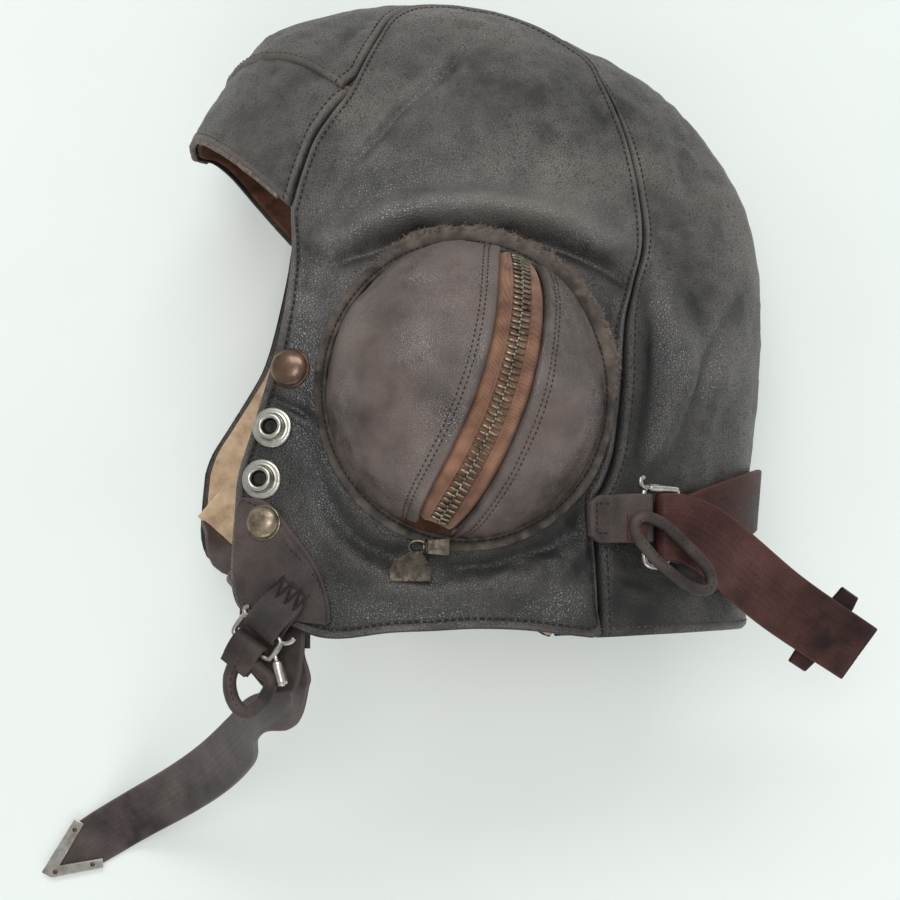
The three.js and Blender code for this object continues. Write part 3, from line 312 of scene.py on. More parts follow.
def pixel(p):
    """place in the photograph of a point, seen from the camera"""
    k = FOCAL_PX / (CAMERA[2] - p[..., 2])
    across = FRAME_PX / 2 + (p[..., 0] - CAMERA[0]) * k
    down = FRAME_PX / 2 - (p[..., 1] - CAMERA[1]) * k
    return np.stack([across, down], axis=-1)


# meshes
def make_mesh(name, points, faces, material):
    mesh = bpy.data.meshes.new(name)
    mesh.from_pydata(place(points).tolist(), [], faces)
    mesh.validate()
    mesh.polygons.foreach_set("use_smooth", [True] * len(mesh.polygons))
    mesh.materials.append(material)
    mesh.update()
    obj = bpy.data.objects.new(name, mesh)
    bpy.context.scene.collection.objects.link(obj)
    return obj


def finish_piece(obj, nodes=()):
    """mount a piece on the helmet's one body and what it replaces"""
    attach(obj, "root")
    if nodes:
        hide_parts(*nodes)
    return obj


def grid_faces(ni, nj, loop_i=False, start=0, flip=False):
    i = np.arange(ni if loop_i else ni - 1)[:, None]
    j = np.arange(nj - 1)[None, :]
    a = i * nj + j
    b = i * nj + j + 1
    c = ((i + 1) % ni) * nj + j + 1
    d = ((i + 1) % ni) * nj + j
    return np.stack([a, b, c, d] if not flip else [a, d, c, b], axis=-1).reshape(-1, 4) + start


def ring_faces(rows, sides, loop=False):
    """faces between rings of points, and from the last ring to the first one in a loop"""
    i = np.arange(rows if loop else rows - 1)[:, None]
    j = np.arange(sides)[None, :]
    a, b = i * sides + j, i * sides + (j + 1) % sides
    c, d = ((i + 1) % rows) * sides + (j + 1) % sides, ((i + 1) % rows) * sides + j
    return np.stack([a, b, c, d], axis=-1).reshape(-1, 4)


def shell(name, top, low, material, loop_i=False, flip=False):
    """closed piece between two grids of points, top outside"""
    ni, nj = top.shape[:2]
    points = np.vstack([top.reshape(-1, 3), low.reshape(-1, 3)])
    n = ni * nj
    faces = [grid_faces(ni, nj, loop_i, 0, flip), grid_faces(ni, nj, loop_i, n, not flip)]
    edges = []
    ring_i = ni if loop_i else ni - 1
    for i in range(ring_i):
        a, b = i * nj, ((i + 1) % ni) * nj
        edges.append((a, b, b + n, a + n) if not flip else (a, a + n, b + n, b))
        a, b = a + nj - 1, b + nj - 1
        edges.append((b, a, a + n, b + n) if not flip else (b, b + n, a + n, a))
    if not loop_i:
        for j in range(nj - 1):
            a, b = j, j + 1
            edges.append((b, a, a + n, b + n) if not flip else (b, b + n, a + n, a))
            a, b = (ni - 1) * nj + j, (ni - 1) * nj + j + 1
            edges.append((a, b, b + n, a + n) if not flip else (a, a + n, b + n, b))
    faces = np.vstack(faces + [np.array(edges)])
    return make_mesh(name, points, faces.tolist(), material)


# materials
class Graph:
    """node tree of one material, with short calls for the nodes used here"""

    def __init__(self, name):
        self.material = bpy.data.materials.new(name)
        self.material.use_nodes = True
        self.tree = self.material.node_tree
        self.shader = self.tree.nodes["Principled BSDF"]
        self.coords = self.node("TexCoord").outputs["Object"]

    def fill(self, socket, value):
        if isinstance(value, bpy.types.NodeSocket):
            self.tree.links.new(value, socket)
        elif socket.type == "RGBA":
            socket.default_value = (*value, 1)
        else:
            socket.default_value = value

    def node(self, kind, inputs=None, **props):
        node = self.tree.nodes.new("ShaderNode" + kind)
        for key, value in props.items():
            setattr(node, key, value)
        for key, value in (inputs or {}).items():
            self.fill(node.inputs[key], value)
        return node

    def surface(self, **values):
        """values of the shader, with _ for a space in the input's name"""
        for key, value in values.items():
            self.fill(self.shader.inputs[key.replace("_", " ")], value)

    def cloud(self, scale, detail, roughness=0.5):
        inputs = {"Vector": self.coords, "Scale": scale, "Detail": detail, "Roughness": roughness}
        return self.node("TexNoise", inputs)

    def cells(self, at, scale):
        """distance to the edge of the nearest cell"""
        inputs = {"Vector": at, "Scale": scale}
        return self.node("TexVoronoi", inputs, feature="DISTANCE_TO_EDGE").outputs["Distance"]

    def attribute(self, name):
        return self.node("Attribute", attribute_name=name).outputs["Fac"]

    def maths(self, a, b, operation="ADD"):
        return self.node("Math", {0: a, 1: b}, operation=operation).outputs[0]

    def spread(self, source, low, high, from_low=0.0, from_high=1.0):
        inputs = {"Value": source, "From Min": from_low, "From Max": from_high, "To Min": low, "To Max": high}
        return self.node("MapRange", inputs).outputs["Result"]

    def blend(self, share, a, b):
        return self.node("Mix", {0: share, 6: a, 7: b}, data_type="RGBA").outputs[2]

    def ramp(self, source, stops):
        node = self.node("ValToRGB", {"Fac": source})
        points = node.color_ramp.elements
        while len(points) < len(stops):
            points.new(0.5)
        for point, (at, colour) in zip(points, stops):
            point.position = at
            point.color = (*colour, 1)
        return node.outputs["Color"]

    def bump(self, height, strength, depth):
        relief = self.node("Bump", {"Height": height, "Strength": strength, "Distance": depth})
        self.surface(Normal=relief.outputs["Normal"])


PEBBLE_DEPTH = 0.00013


def leather_material(name, dark, base, light, cell=1.05, rough=(0.36, 0.5), bump=0.85, crack=0.78,
                     wear_and_highlight=0.5, shine=0.9):
    """pebbled leather: dark, base and light are linear colours, cell is the pebble size in mm"""
    g = Graph(name)
    bend = g.cloud(220.0, 2.0).outputs["Color"]
    moved = g.node("VectorMath", {0: bend, 1: (0.0012,) * 3}, operation="MULTIPLY").outputs[0]
    bent = g.node("VectorMath", {0: g.coords, 1: moved}, operation="ADD").outputs[0]
    pebble = g.cells(bent, 1000.0 / cell)
    crease = g.spread(g.cells(bent, 380.0 / cell), 0.0, 1.0, 0.0, 0.05)
    fine = g.cloud(1900.0, 2.0).outputs["Fac"]
    patch = g.cloud(26.0, 4.0, 0.6).outputs["Fac"]
    mottle = g.cloud(95.0, 3.0).outputs["Fac"]
    wear_and_shading, gloss = g.attribute("wear_and_shading"), g.attribute("gloss")
    groove = g.spread(pebble, 0.0, 1.0, 0.0, 0.13)
    # colour: worn patches, dark grooves, rims lighter from wear, a painted highlight on the fold crests and
    # painted shade in the fold valleys
    ground = g.ramp(patch, [(0.32, dark), (0.5, base), (0.72, light)])
    speckled = g.blend(g.spread(mottle, 0.0, 0.55, 0.42, 0.75), ground, light)
    grooved = g.blend(g.spread(groove, crack, 0.0), speckled, dark)
    worn_and_lit = g.blend(g.spread(wear_and_shading, 0.0, wear_and_highlight, 0.5, 1.0), grooved, light)
    painted_shade_colour = tuple(c * 0.35 for c in dark)
    shaded = g.blend(g.spread(wear_and_shading, 0.9, 0.0, 0.0, 0.5), worn_and_lit, painted_shade_colour)
    # roughness: lower on glossy stretches, higher in the grooves
    plain_rough = g.spread(g.maths(patch, mottle), rough[0], rough[1], 0.7, 1.3)
    polished = g.maths(plain_rough, g.maths(gloss, -0.24, "MULTIPLY"))
    dull = g.spread(groove, 0.45 * crack, 0.0)
    g.surface(Base_Color=shaded, Roughness=g.maths(polished, dull),
              Specular_IOR_Level=g.spread(gloss, 0.5 * shine, shine))
    height = g.maths(g.spread(pebble, 0.0, 1.0, 0.0, 0.3), g.spread(crease, 0.0, 0.5))
    height = g.maths(height, g.spread(fine, 0.0, 0.35))
    g.bump(height, g.spread(gloss, bump * 0.6, min(1.0, bump * 1.25)), PEBBLE_DEPTH)
    return g.material


def plain_material(name, dark, light, scale, rough, metal=0.0, bump=0.1, depth=0.0002, spots=0.5):
    """worn material with colour, gloss and height broken up by noise"""
    g = Graph(name)
    cloud = g.cloud(scale, 4.0, 0.65).outputs["Fac"]
    fine = g.cloud(scale * 6, 2.0).outputs["Fac"]
    colour = g.ramp(cloud, [(spots - 0.18, dark), (spots + 0.18, light)])
    g.surface(Base_Color=colour, Roughness=g.spread(cloud, rough[1], rough[0], 0.3, 0.7), Metallic=metal)
    g.bump(fine, bump, depth)
    return g.material


def woven_material(name, dark, light, thread, rough=0.85):
    """woven or ribbed cloth, thread is the spacing in mm"""
    g = Graph(name)
    inputs = {"Vector": g.coords, "Scale": 1000.0 / thread / 6.28, "Distortion": 1.5, "Detail": 2.0}
    across = g.node("TexWave", inputs, bands_direction="DIAGONAL").outputs["Fac"]
    both = g.maths(g.spread(across, 0.0, 0.12), g.cloud(120.0, 4.0).outputs["Fac"])
    g.surface(Base_Color=g.ramp(both, [(0.38, dark), (0.8, light)]), Roughness=rough, Sheen_Weight=0.2)
    g.bump(across, 0.2, 0.0001)
    return g.material


# leathers, each from the deepest colour to the lightest one; the lightest shows wear and paints the highlight
# on fold crests, the deepest also paints the shade in the folds
shell_leather = leather_material(
    "shell_leather", (0.01, 0.009, 0.0088), (0.078, 0.069, 0.065), (0.19, 0.165, 0.15))
dome_leather = leather_material(
    "dome_leather", (0.045, 0.033, 0.029), (0.118, 0.086, 0.078), (0.21, 0.158, 0.146),
    cell=0.8, bump=0.6, crack=0.45, rough=(0.3, 0.48), shine=0.8)
strap_leather = leather_material(
    "strap_leather", (0.016, 0.005, 0.0045), (0.064, 0.022, 0.019), (0.13, 0.055, 0.047),
    cell=0.7, bump=0.5, crack=0.5, rough=(0.4, 0.58), shine=0.4)
chin_leather = leather_material(
    "chin_leather", (0.026, 0.018, 0.017), (0.082, 0.061, 0.058), (0.17, 0.132, 0.125),
    cell=0.7, bump=0.5, crack=0.4, rough=(0.34, 0.52), shine=0.6)
tab_leather = leather_material(
    "tab_leather", (0.014, 0.01, 0.009), (0.05, 0.037, 0.034), (0.12, 0.088, 0.08),
    cell=0.7, bump=0.5, crack=0.4, rough=(0.4, 0.56), shine=0.6)
ring_leather = leather_material(
    "ring_leather", (0.02, 0.016, 0.014), (0.06, 0.047, 0.041), (0.19, 0.15, 0.125),
    cell=0.6, bump=1.0, crack=0.5, rough=(0.45, 0.65), wear_and_highlight=0.9, shine=0.6)
flesh_side = leather_material(
    "flesh_side", (0.03, 0.008, 0.006), (0.07, 0.02, 0.014), (0.12, 0.045, 0.032),
    cell=0.5, bump=0.4, crack=0.15, rough=(0.55, 0.75), shine=0.5)

# linings, cloth, metal and thread, dark colour and light colour
edge_leather = plain_material("edge_leather", (0.09, 0.07, 0.058), (0.24, 0.19, 0.155), 500.0, (0.7, 0.9))
chamois = plain_material(
    "chamois", (0.5, 0.335, 0.205), (0.78, 0.58, 0.4), 160.0, (0.85, 0.97), bump=0.35, depth=0.0003)
nap = plain_material(
    "nap_lining", (0.01, 0.006, 0.004), (0.15, 0.065, 0.038), 85.0, (0.9, 1.0),
    bump=0.8, depth=0.0006, spots=0.42)
tape_cloth = woven_material("zip_tape", (0.13, 0.058, 0.035), (0.33, 0.165, 0.1), 0.36)
dark_brass = plain_material("dark_brass", (0.07, 0.055, 0.04), (0.4, 0.35, 0.27), 240.0, (0.3, 0.5), 0.9)
nickel = plain_material("nickel", (0.32, 0.29, 0.25), (0.68, 0.65, 0.6), 180.0, (0.22, 0.42), 1.0)
cap_enamel = plain_material(
    "cap_enamel", (0.06, 0.03, 0.02), (0.2, 0.12, 0.08), 130.0, (0.2, 0.36), 0.45, 0.05)
worn_enamel = plain_material(
    "worn_enamel", (0.09, 0.06, 0.04), (0.42, 0.34, 0.25), 220.0, (0.22, 0.38), 0.75, 0.05)
# near-black plug colour that paints the shade inside the studs' sockets
socket_shade = plain_material("socket_shade", (0.004, 0.0035, 0.003), (0.02, 0.017, 0.014), 200.0, (0.5, 0.7), 0.3)
dark_metal = plain_material("dark_metal", (0.035, 0.028, 0.022), (0.17, 0.14, 0.11), 420.0, (0.3, 0.5), 0.85)
thread = plain_material("thread", (0.006, 0.005, 0.005), (0.022, 0.016, 0.014), 700.0, (0.7, 0.9))
olive_thread = plain_material("olive_thread", (0.035, 0.028, 0.02), (0.12, 0.095, 0.065), 700.0, (0.7, 0.9))


def set_tone(obj, wear_and_shading, name="wear_and_shading"):
    """value from 0 to 1 at each point, which the leather reads: below 0.5 it paints shade, above 0.5 it shows
    wear and paints a highlight
    """
    layer = obj.data.attributes.new(name, "FLOAT", "POINT")
    layer.data.foreach_set("value", np.clip(np.asarray(wear_and_shading, float).ravel(), 0, 1))


def tone_both(obj, wear_and_shading, name="wear_and_shading", under=1.0):
    """the same tone on the two faces of a shell, times under on the lower one"""
    set_tone(obj, np.r_[wear_and_shading.ravel(), wear_and_shading.ravel() * under], name)


# folds of the visible side: path and width in pixels of the photograph, height in mm
FOLDS = [
    ([(330, 240), (375, 221), (410, 211), (450, 206), (490, 206), (530, 211), (570, 223),
      (605, 240), (640, 262)], 16, 7.0),
    ([(345, 258), (380, 246), (412, 235), (450, 230), (490, 230), (530, 235), (570, 248),
      (604, 265), (634, 284)], 8, -6.0),
    ([(634, 268), (646, 284)], 13, -3.0),
    ([(652, 292), (659, 330), (656, 380), (648, 430), (640, 465)], 9, -4.2),
    ([(670, 312), (684, 345), (689, 380), (680, 420), (668, 455)], 12, 3.2),
    ([(744, 290), (725, 330), (705, 375), (690, 410), (672, 452), (655, 476)], 7, -3.0),
    ([(738, 345), (718, 395), (702, 440)], 15, 2.4),
    ([(472, 40), (445, 72), (405, 106), (375, 140), (350, 165)], 5, -1.6),
    ([(482, 48), (455, 82), (415, 118), (385, 150)], 6, 1.1),
    ([(455, 45), (425, 75), (392, 105), (362, 135)], 7, 1.0),
    ([(326, 66), (334, 48), (352, 30), (378, 14)], 5, -1.4),
    ([(262, 386), (276, 400), (296, 408), (312, 418)], 3.2, -1.6),
    ([(258, 394), (272, 408), (292, 416), (310, 427)], 4, 1.0),
    ([(318, 470), (330, 505), (352, 535), (390, 556), (440, 566), (500, 560), (560, 540),
      (605, 512)], 11, -2.6),
    ([(318, 520), (350, 560), (410, 588), (480, 590), (560, 570), (600, 545)], 16, 2.0),
    ([(612, 300), (622, 350), (618, 400), (608, 450)], 5, -1.4),
    ([(300, 248), (322, 262), (350, 262)], 4, -1.0),
    ([(290, 282), (312, 292), (340, 290)], 4, -0.9),
    ([(288, 318), (306, 326), (330, 322)], 4, -0.9),
    ([(700, 120), (722, 170), (740, 230), (748, 280)], 9, 1.6),
    ([(655, 110), (680, 160), (700, 220), (712, 270)], 10, -1.3),
    ([(560, 60), (600, 110), (615, 160)], 10, -1.0),
    ([(668, 560), (700, 585), (735, 590)], 7, -1.2),
    ([(250, 66), (262, 90), (285, 100)], 6, -0.8),
]


# places in pixels where fittings sit on the leather, each with its reach, which the folds leave plain
QUIET = [(295, 366, 24), (273, 428, 24), (263, 478, 24), (262, 521, 22), (270, 585, 34), (290, 620, 34),
         (425, 560, 26), (620, 505, 34), (655, 520, 40)]


def line_distance(px, path):
    """distance of each pixel to a line, and how far along it, 0 to 1"""
    points = np.array(path, float)
    lengths = np.linalg.norm(np.diff(points, axis=0), axis=1)
    total = lengths.sum()
    best = np.full(px.shape[:-1], 1e9)
    along = np.zeros(px.shape[:-1])
    run = 0.0
    for a, b, length in zip(points[:-1], points[1:], lengths):
        t = np.clip(((px - a) @ (b - a)) / length ** 2, 0, 1)
        d = np.linalg.norm(px - (a + t[..., None] * (b - a)), axis=-1)
        closer = d < best
        best = np.where(closer, d, best)
        along = np.where(closer, (run + t * length) / total, along)
        run += length
    return best, along


def relief(points, side):
    """height of folds and small wrinkles, in mm, and a shade from 0 dark to 1 light: painted shade in the
    fold valleys and painted highlight on the crests
    """
    soft = layered(points, 34.0, 3, 3) * 1.2
    crumple = -np.abs(layered(points * vec(1.0, 1.0, 0.6), 11.0, 9, 3)) * 1.35 + 0.4
    high = soft + crumple * (0.35 + 0.65 * ramp((noise(points, 48.0, 5) + 0.35) / 0.7))
    if side > 0:
        px = pixel(points)
        for path, wide, rise in FOLDS:
            d, along = line_distance(px, spline(path, 26))
            taper = np.sin(math.pi * np.clip(0.06 + 0.88 * along, 0, 1)) ** 0.6
            high = high + rise * hump(d, wide) * taper
        for x, y, wide in QUIET:
            high = high * (1 - 0.92 * np.exp(-(np.hypot(px[..., 0] - x, px[..., 1] - y) / wide) ** 4))
    # fold height paints light: lower is painted shade in the valleys, higher is painted highlight on the
    # crests
    shade = 0.5 + np.clip(high * 0.06, -0.44, 0.3)
    if side > 0:
        # on the visible side, darker towards the lower edge of the side and lighter towards the crown, with
        # some random change
        low_down = ramp((px[..., 1] - 190) / 240) * ramp((800 - px[..., 0]) / 160)
        shade = shade + mix(0.12, -0.42, low_down) + 0.1 * noise(points, 40.0, 6)
    return high, shade


# glossy stretches of the visible side, paths in pixels
GLOSSY = [
    ([(330, 224), (375, 206), (410, 196), (450, 190), (490, 190),
      (530, 196), (570, 208), (605, 228), (634, 252)], 22),
    ([(350, 238), (410, 214), (450, 208), (490, 209), (530, 216), (600, 244)], 18),
    ([(665, 300), (684, 345), (690, 400), (668, 455)], 24),
    ([(350, 600), (450, 612), (570, 604)], 26),
    ([(300, 560), (330, 480), (318, 410)], 16),
    ([(440, 70), (395, 118), (360, 160)], 9),
    ([(720, 330), (700, 400), (690, 470)], 16),
    ([(330, 240), (310, 290), (305, 340), (300, 440)], 20),
    ([(620, 540), (680, 600)], 20),
]


def gloss_of(points):
    """how glossy the leather is at each point"""
    px = pixel(points)
    total = np.zeros(px.shape[:-1])
    for path, wide in GLOSSY:
        d, _ = line_distance(px, spline(path, 16))
        total = np.maximum(total, hump(d, wide))
    return total * (0.75 + 0.5 * noise(points, 20.0, 88)) + 0.12 * ramp(noise(points, 30.0, 89) + 0.2)


# panel outline, seam first and then the free edge, as smooth curves seen from the left side
def side_curve(table, count):
    """side angle and turn along an outline"""
    points = spline([(x * HALF_LENGTH, y * CROWN_RISE) for x, y in table], count)
    return np.arctan2(points[:, 1], points[:, 0]), turn_of(points[:, 0], points[:, 1])


SEAM_STEPS, EDGE_STEPS, PANEL_STEPS, GORE_STEPS = 330, 210, 84, 110
SEAM_A, SEAM_B = side_curve(SEAM, SEAM_STEPS)
EDGE_A, EDGE_B = side_curve(FREE_EDGE, EDGE_STEPS)


def seam_row_share():
    """seam table row, as a number, of each smooth seam point"""
    plain = spline([(x * HALF_LENGTH, y * CROWN_RISE) for x, y in SEAM], 4000)
    table = np.array([(x * HALF_LENGTH, y * CROWN_RISE) for x, y in SEAM])
    nearest = [int(np.argmin(np.hypot(*(plain - point).T))) for point in table]
    return np.interp(np.linspace(0, 3999, SEAM_STEPS), nearest, np.arange(len(SEAM)))


SEAM_ROW = seam_row_share()
HEM_ROLL, SEAM_SINK, SEAM_PUFF = 1.1, 0.9, 0.55


def rim_shape(distance, seam_share):
    """height change near an edge: a rounded rim, a sunk seam, a puffed allowance and a stitch row"""
    rounded = -LEATHER * 0.5 * rolled(distance, HEM_ROLL)
    sunk = -SEAM_SINK * hump(distance, 0.9)
    puffed = SEAM_PUFF * hump(distance, 1.1, 2.0)
    row = -0.5 * hump(distance, 0.55, 3.6)
    hem = 0.35 * hump(distance, 1.3, 1.9)
    return rounded + mix(hem, sunk + puffed, seam_share) + row * 0.8


def panel_grid(side, inset=0.0, hole_grow=0.0, seam_inset=0.25, steps=PANEL_STEPS, stride=1):
    """turn and side angle of a side panel's points, rows round the outline, columns outward"""
    a = np.r_[SEAM_A[:-1], EDGE_A[:-1]]
    b = np.r_[SEAM_B[:-1], EDGE_B[:-1]]
    on_seam = np.r_[np.ones(len(SEAM_A) - 1), np.zeros(len(EDGE_A) - 1)]
    on_seam = np.convolve(np.r_[on_seam[-3:], on_seam, on_seam[:3]], np.ones(7) / 7, "valid")
    a, b, on_seam = a[::stride], b[::stride], on_seam[::stride]
    u, v, _ = np.moveaxis(head(a, b), -1, 0)
    low_hem = ramp((-0.44 - v / CROWN_RISE) / 0.04) * ramp((u / HALF_LENGTH + 0.62) / 0.2)
    drop = (-3.2 if side > 0 else 9.0) * low_hem
    rim = shifted(a, b, -mix(inset + 0.01 + drop, seam_inset, on_seam))
    t = np.linspace(0, 1, steps)
    t = 1 - (1 - t) ** 1.25
    turn = mix(hole_turn(a, hole_grow)[:, None], rim[:, None], t[None, :])
    angle = np.repeat(a[:, None], steps, axis=1)
    return angle, turn if side > 0 else math.pi - turn, on_seam


def gore_grid(rows, seam_inset=0.25, start=0.0, end=0.0):
    """turn and side angle of a middle panel's points, rows along the seam, columns left to right"""
    pick = (SEAM_ROW >= rows[0]) & (SEAM_ROW <= rows[1])
    row, a, b = SEAM_ROW[pick], SEAM_A[pick], SEAM_B[pick]
    edge = shifted(a, b, seam_inset)
    x = np.linspace(1, -1, GORE_STEPS)
    x = np.sign(x) * (1 - (1 - np.abs(x)) ** 1.15)
    c = (np.cos(edge) ** (2 / ROUND_SHARE))[:, None] * x[None, :]
    t = np.arccos(np.sign(c) * np.abs(c) ** (ROUND_SHARE / 2))
    brow = math.atan2(0.675 * CROWN_RISE, -0.929 * HALF_LENGTH)
    cross = math.atan2(0.845 * CROWN_RISE, -0.78 * HALF_LENGTH)
    hem = math.atan2(-0.482 * CROWN_RISE, 0.991 * HALF_LENGTH)
    last = len(SEAM) - 1
    to_hem = (row - BROW_ROWS) / (last - BROW_ROWS)
    mid = np.where(row <= BROW_ROWS, mix(brow, cross, row / BROW_ROWS), mix(cross, hem, to_hem))
    share = (1 - x * x)[None, :]
    angle = mix(wrap_angle(a)[:, None], mid[:, None], share)
    low = ramp((row - last + 7) / 5)
    busy = low > 0
    if busy.any():
        up_seam = head(a[busy], b[busy])[:, 1]
        up_mid = reach(mid[busy]) * np.sin(mid[busy])
        want = mix(up_seam[:, None], up_mid[:, None], share)
        angle[busy] = mix(angle[busy], angle_at(t[busy], want), low[busy][:, None])
    size = reach(angle) * np.maximum(0.4, np.sin(t))
    spread = 1 - np.minimum(np.arange(len(row)), 6) / 6.0
    front = np.broadcast_to(np.asarray(start, float), x.shape)
    rear = np.broadcast_to(np.asarray(end, float), x.shape)
    angle = angle - front[None, :] * spread[:, None] / size + rear[None, :] * spread[::-1, None] / size
    return angle, t


def rim_distance(points, both=False):
    """distance along a row of points to the row's last point, or to the nearer end"""
    step = np.linalg.norm(np.diff(points, axis=1), axis=-1)
    run = np.concatenate([np.zeros((len(points), 1)), np.cumsum(step, axis=1)], axis=1)
    to_end = run[:, -1:] - run
    return np.minimum(run, to_end) if both else to_end


def end_distance(points):
    """distance along each column to the nearer end row, and to the first row"""
    step = np.linalg.norm(np.diff(points, axis=0), axis=-1)
    run = np.concatenate([np.zeros((1, points.shape[1])), np.cumsum(step, axis=0)], axis=0)
    return run, run[-1:] - run


def skin_grid(angle, turn, high):
    """grid of points over the skin"""
    base = skin_base(angle, turn)
    return base + skin_normal(angle, turn) * np.asarray(high)[..., None]


def build_side_panel(side, name):
    """leather skin and chamois lining of one side"""
    steps, stride = (PANEL_STEPS, 1) if side > 0 else (44, 3)
    angle, turn, on_seam = panel_grid(side, steps=steps, stride=stride)
    flat = skin_grid(angle, turn, LEATHER)
    distance = rim_distance(flat)
    folds, shade = relief(flat, side)
    from_hole = rim_distance(flat[:, ::-1])[:, ::-1]
    calm = ramp(distance / 9.0) * ramp((from_hole + 1.0) / 9.0)
    high = folds * mix(0.15, 1.0, calm) + rim_shape(distance, on_seam[:, None])
    if side < 0:
        high = np.minimum(high * 0.5, 0.4)
    outer = skin_grid(angle, turn, LEATHER + high)
    inner = skin_grid(angle, turn, np.minimum(high * 0.9, 3.0) if side > 0 else high * 0.5)
    above_table(outer, inner, SKIN_LOW + 0.1, SKIN_LOW)
    obj = shell(name + "_skin", outer, inner, shell_leather, True, side < 0)
    # the fold shade paints shade in the valleys and a highlight on the crests; near the rim a lighter line,
    # and a darker line at the rim itself
    shade = shade + 0.32 * hump(distance, 1.2, 1.4) - 0.4 * hump(distance, 0.6)
    shade = shade + 0.3 * (1 - on_seam[:, None]) * hump(distance, 0.7, 0.7)
    tone_both(obj, shade, under=0.5)
    if side > 0:
        gloss = gloss_of(flat) * ramp(distance / 5.0)
        tone_both(obj, gloss, "gloss")
    finish_piece(obj, [name])
    angle, turn, _ = panel_grid(side, 2.6, 0.6, 0.6, 34 if side > 0 else 28, 2)
    flat = skin_grid(angle, turn, 0.0)
    folds, _ = relief(flat, side)
    crumple = layered(flat, 14.0, 77, 3) * 0.5
    dip = np.minimum(folds * ramp(rim_distance(flat) / 9.0), 0.0) * (0.95 if side > 0 else 0.0)
    low_rim = ramp(rim_distance(flat) / 1.2)
    top = skin_grid(angle, turn, dip - GAP - 0.1 - 0.5 * (1 - low_rim))
    low = skin_grid(angle, turn, dip - GAP - LINING - crumple * low_rim)
    above_table(top, low, 0.5, 0.3)
    lining = shell(name + "_chamois", top, low, chamois, True, side < 0)
    finish_piece(lining, [name.replace("panel", "lining")])
    return outer, distance, on_seam


def build_gore(name, rows, start, end):
    """leather skin of the brow or the crown, with its two ends moved by start and end"""
    angle, turn = gore_grid(rows, 0.25, start, end)
    flat = skin_grid(angle, turn, LEATHER)
    distance = rim_distance(flat, True)
    first, last = end_distance(flat)
    folds, shade = relief(flat, 1)
    generic, _ = relief(flat, -1)
    upper = ramp((flat[..., 2] - 45) / 40)
    folds = mix(generic * 0.7, folds, upper)
    calm = ramp(distance / 9.0)
    high = folds * mix(0.15, 1.0, calm) + rim_shape(distance, 1.0)
    high = high + rim_shape(np.minimum(first, last), 0.0)
    floor_ease = ramp((flat[..., 2] - 4) / 12)
    high = np.where(high > 0, high * floor_ease, high)
    if name == "brow_panel":
        high = high + np.where(last < 7, -1.0 * ramp((7 - last) / 4), 0)
    if name == "crown_gore":
        high = high + 0.9 * ramp((9 - first) / 5)
    top = skin_grid(angle, turn, LEATHER + high)
    low = skin_grid(angle, turn, np.minimum(high * 0.9, 3.0))
    above_table(top, low, SKIN_LOW + 0.1, SKIN_LOW)
    obj = shell(name + "_skin", top, low, shell_leather, False, False)
    rim = np.minimum(np.minimum(distance, first), last)
    # the fold shade paints shade in the valleys and a highlight on the crests; near the rim a lighter line,
    # and a darker line at the rim itself
    shade = shade + 0.3 * hump(rim, 1.2, 1.4) - 0.4 * hump(distance, 0.6)
    tone_both(obj, shade, under=0.5)
    gloss = gloss_of(flat) * ramp(distance / 5.0) * upper
    tone_both(obj, gloss, "gloss")
    finish_piece(obj, [name])
    return top, distance


# camera, light and table
SENSOR, TABLE_SIDE = 36.0, 3.2


def set_camera():
    camera = bpy.data.cameras.new("camera")
    camera.lens = FOCAL_PX / FRAME_PX * SENSOR
    camera.sensor_width = SENSOR
    camera.sensor_fit = "HORIZONTAL"
    camera.clip_start, camera.clip_end = 0.01, 20.0
    obj = bpy.data.objects.new("camera", camera)
    obj.location = place(CAMERA).tolist()
    bpy.context.scene.collection.objects.link(obj)
    bpy.context.scene.camera = obj


def area_light(name, at, aim, size, power, colour=(1, 1, 1)):
    light = bpy.data.lights.new(name, "AREA")
    light.shape = "RECTANGLE"
    light.size, light.size_y = size
    light.energy = power
    light.color = colour
    obj = bpy.data.objects.new(name, light)
    obj.location = at
    obj.rotation_euler = (Vector(aim) - Vector(at)).to_track_quat("-Z", "Y").to_euler()
    bpy.context.scene.collection.objects.link(obj)


def set_stage():
    world = bpy.data.worlds.new("studio")
    world.use_nodes = True
    sky = world.node_tree.nodes["Background"]
    sky.inputs["Color"].default_value = (0.93, 0.97, 0.95, 1)
    sky.inputs["Strength"].default_value = 0.5
    bpy.context.scene.world = world
    bpy.context.scene.view_settings.view_transform = "Standard"
    area_light("top_window", (0.0, 2.6, 3.2), (0.0, 0.0, 0.05), (3.2, 1.3), 58, (0.97, 1.0, 1.0))
    area_light("overhead", (-0.1, 0.16, 1.25), (0.0, 0.0, 0.0), (0.36, 0.36), 2.2, (1.0, 1.0, 0.99))
    area_light("near_fill", (0.0, -1.7, 1.1), (0.0, 0.0, 0.0), (1.8, 0.7), 7.0)
    area_light("right_fill", (1.1, -0.3, 0.7), (0.0, 0.0, 0.05), (0.8, 0.8), 0.8)
    half = TABLE_SIDE / 2
    corners = [(-half, -half, 0), (half, -half, 0), (half, half, 0), (-half, half, 0)]
    mesh = bpy.data.meshes.new("table")
    mesh.from_pydata(corners, [], [(0, 1, 2, 3)])
    material = plain_material(
        "table_top", (0.73, 0.77, 0.74), (0.78, 0.815, 0.79), 3.0, (0.35, 0.5), bump=0.02)
    glow = material.node_tree.nodes["Principled BSDF"]
    glow.inputs["Emission Color"].default_value = (0.96, 1.0, 0.97, 1)
    glow.inputs["Emission Strength"].default_value = 0.2
    mesh.materials.append(material)
    table = bpy.data.objects.new("table", mesh)
    bpy.context.scene.collection.objects.link(table)


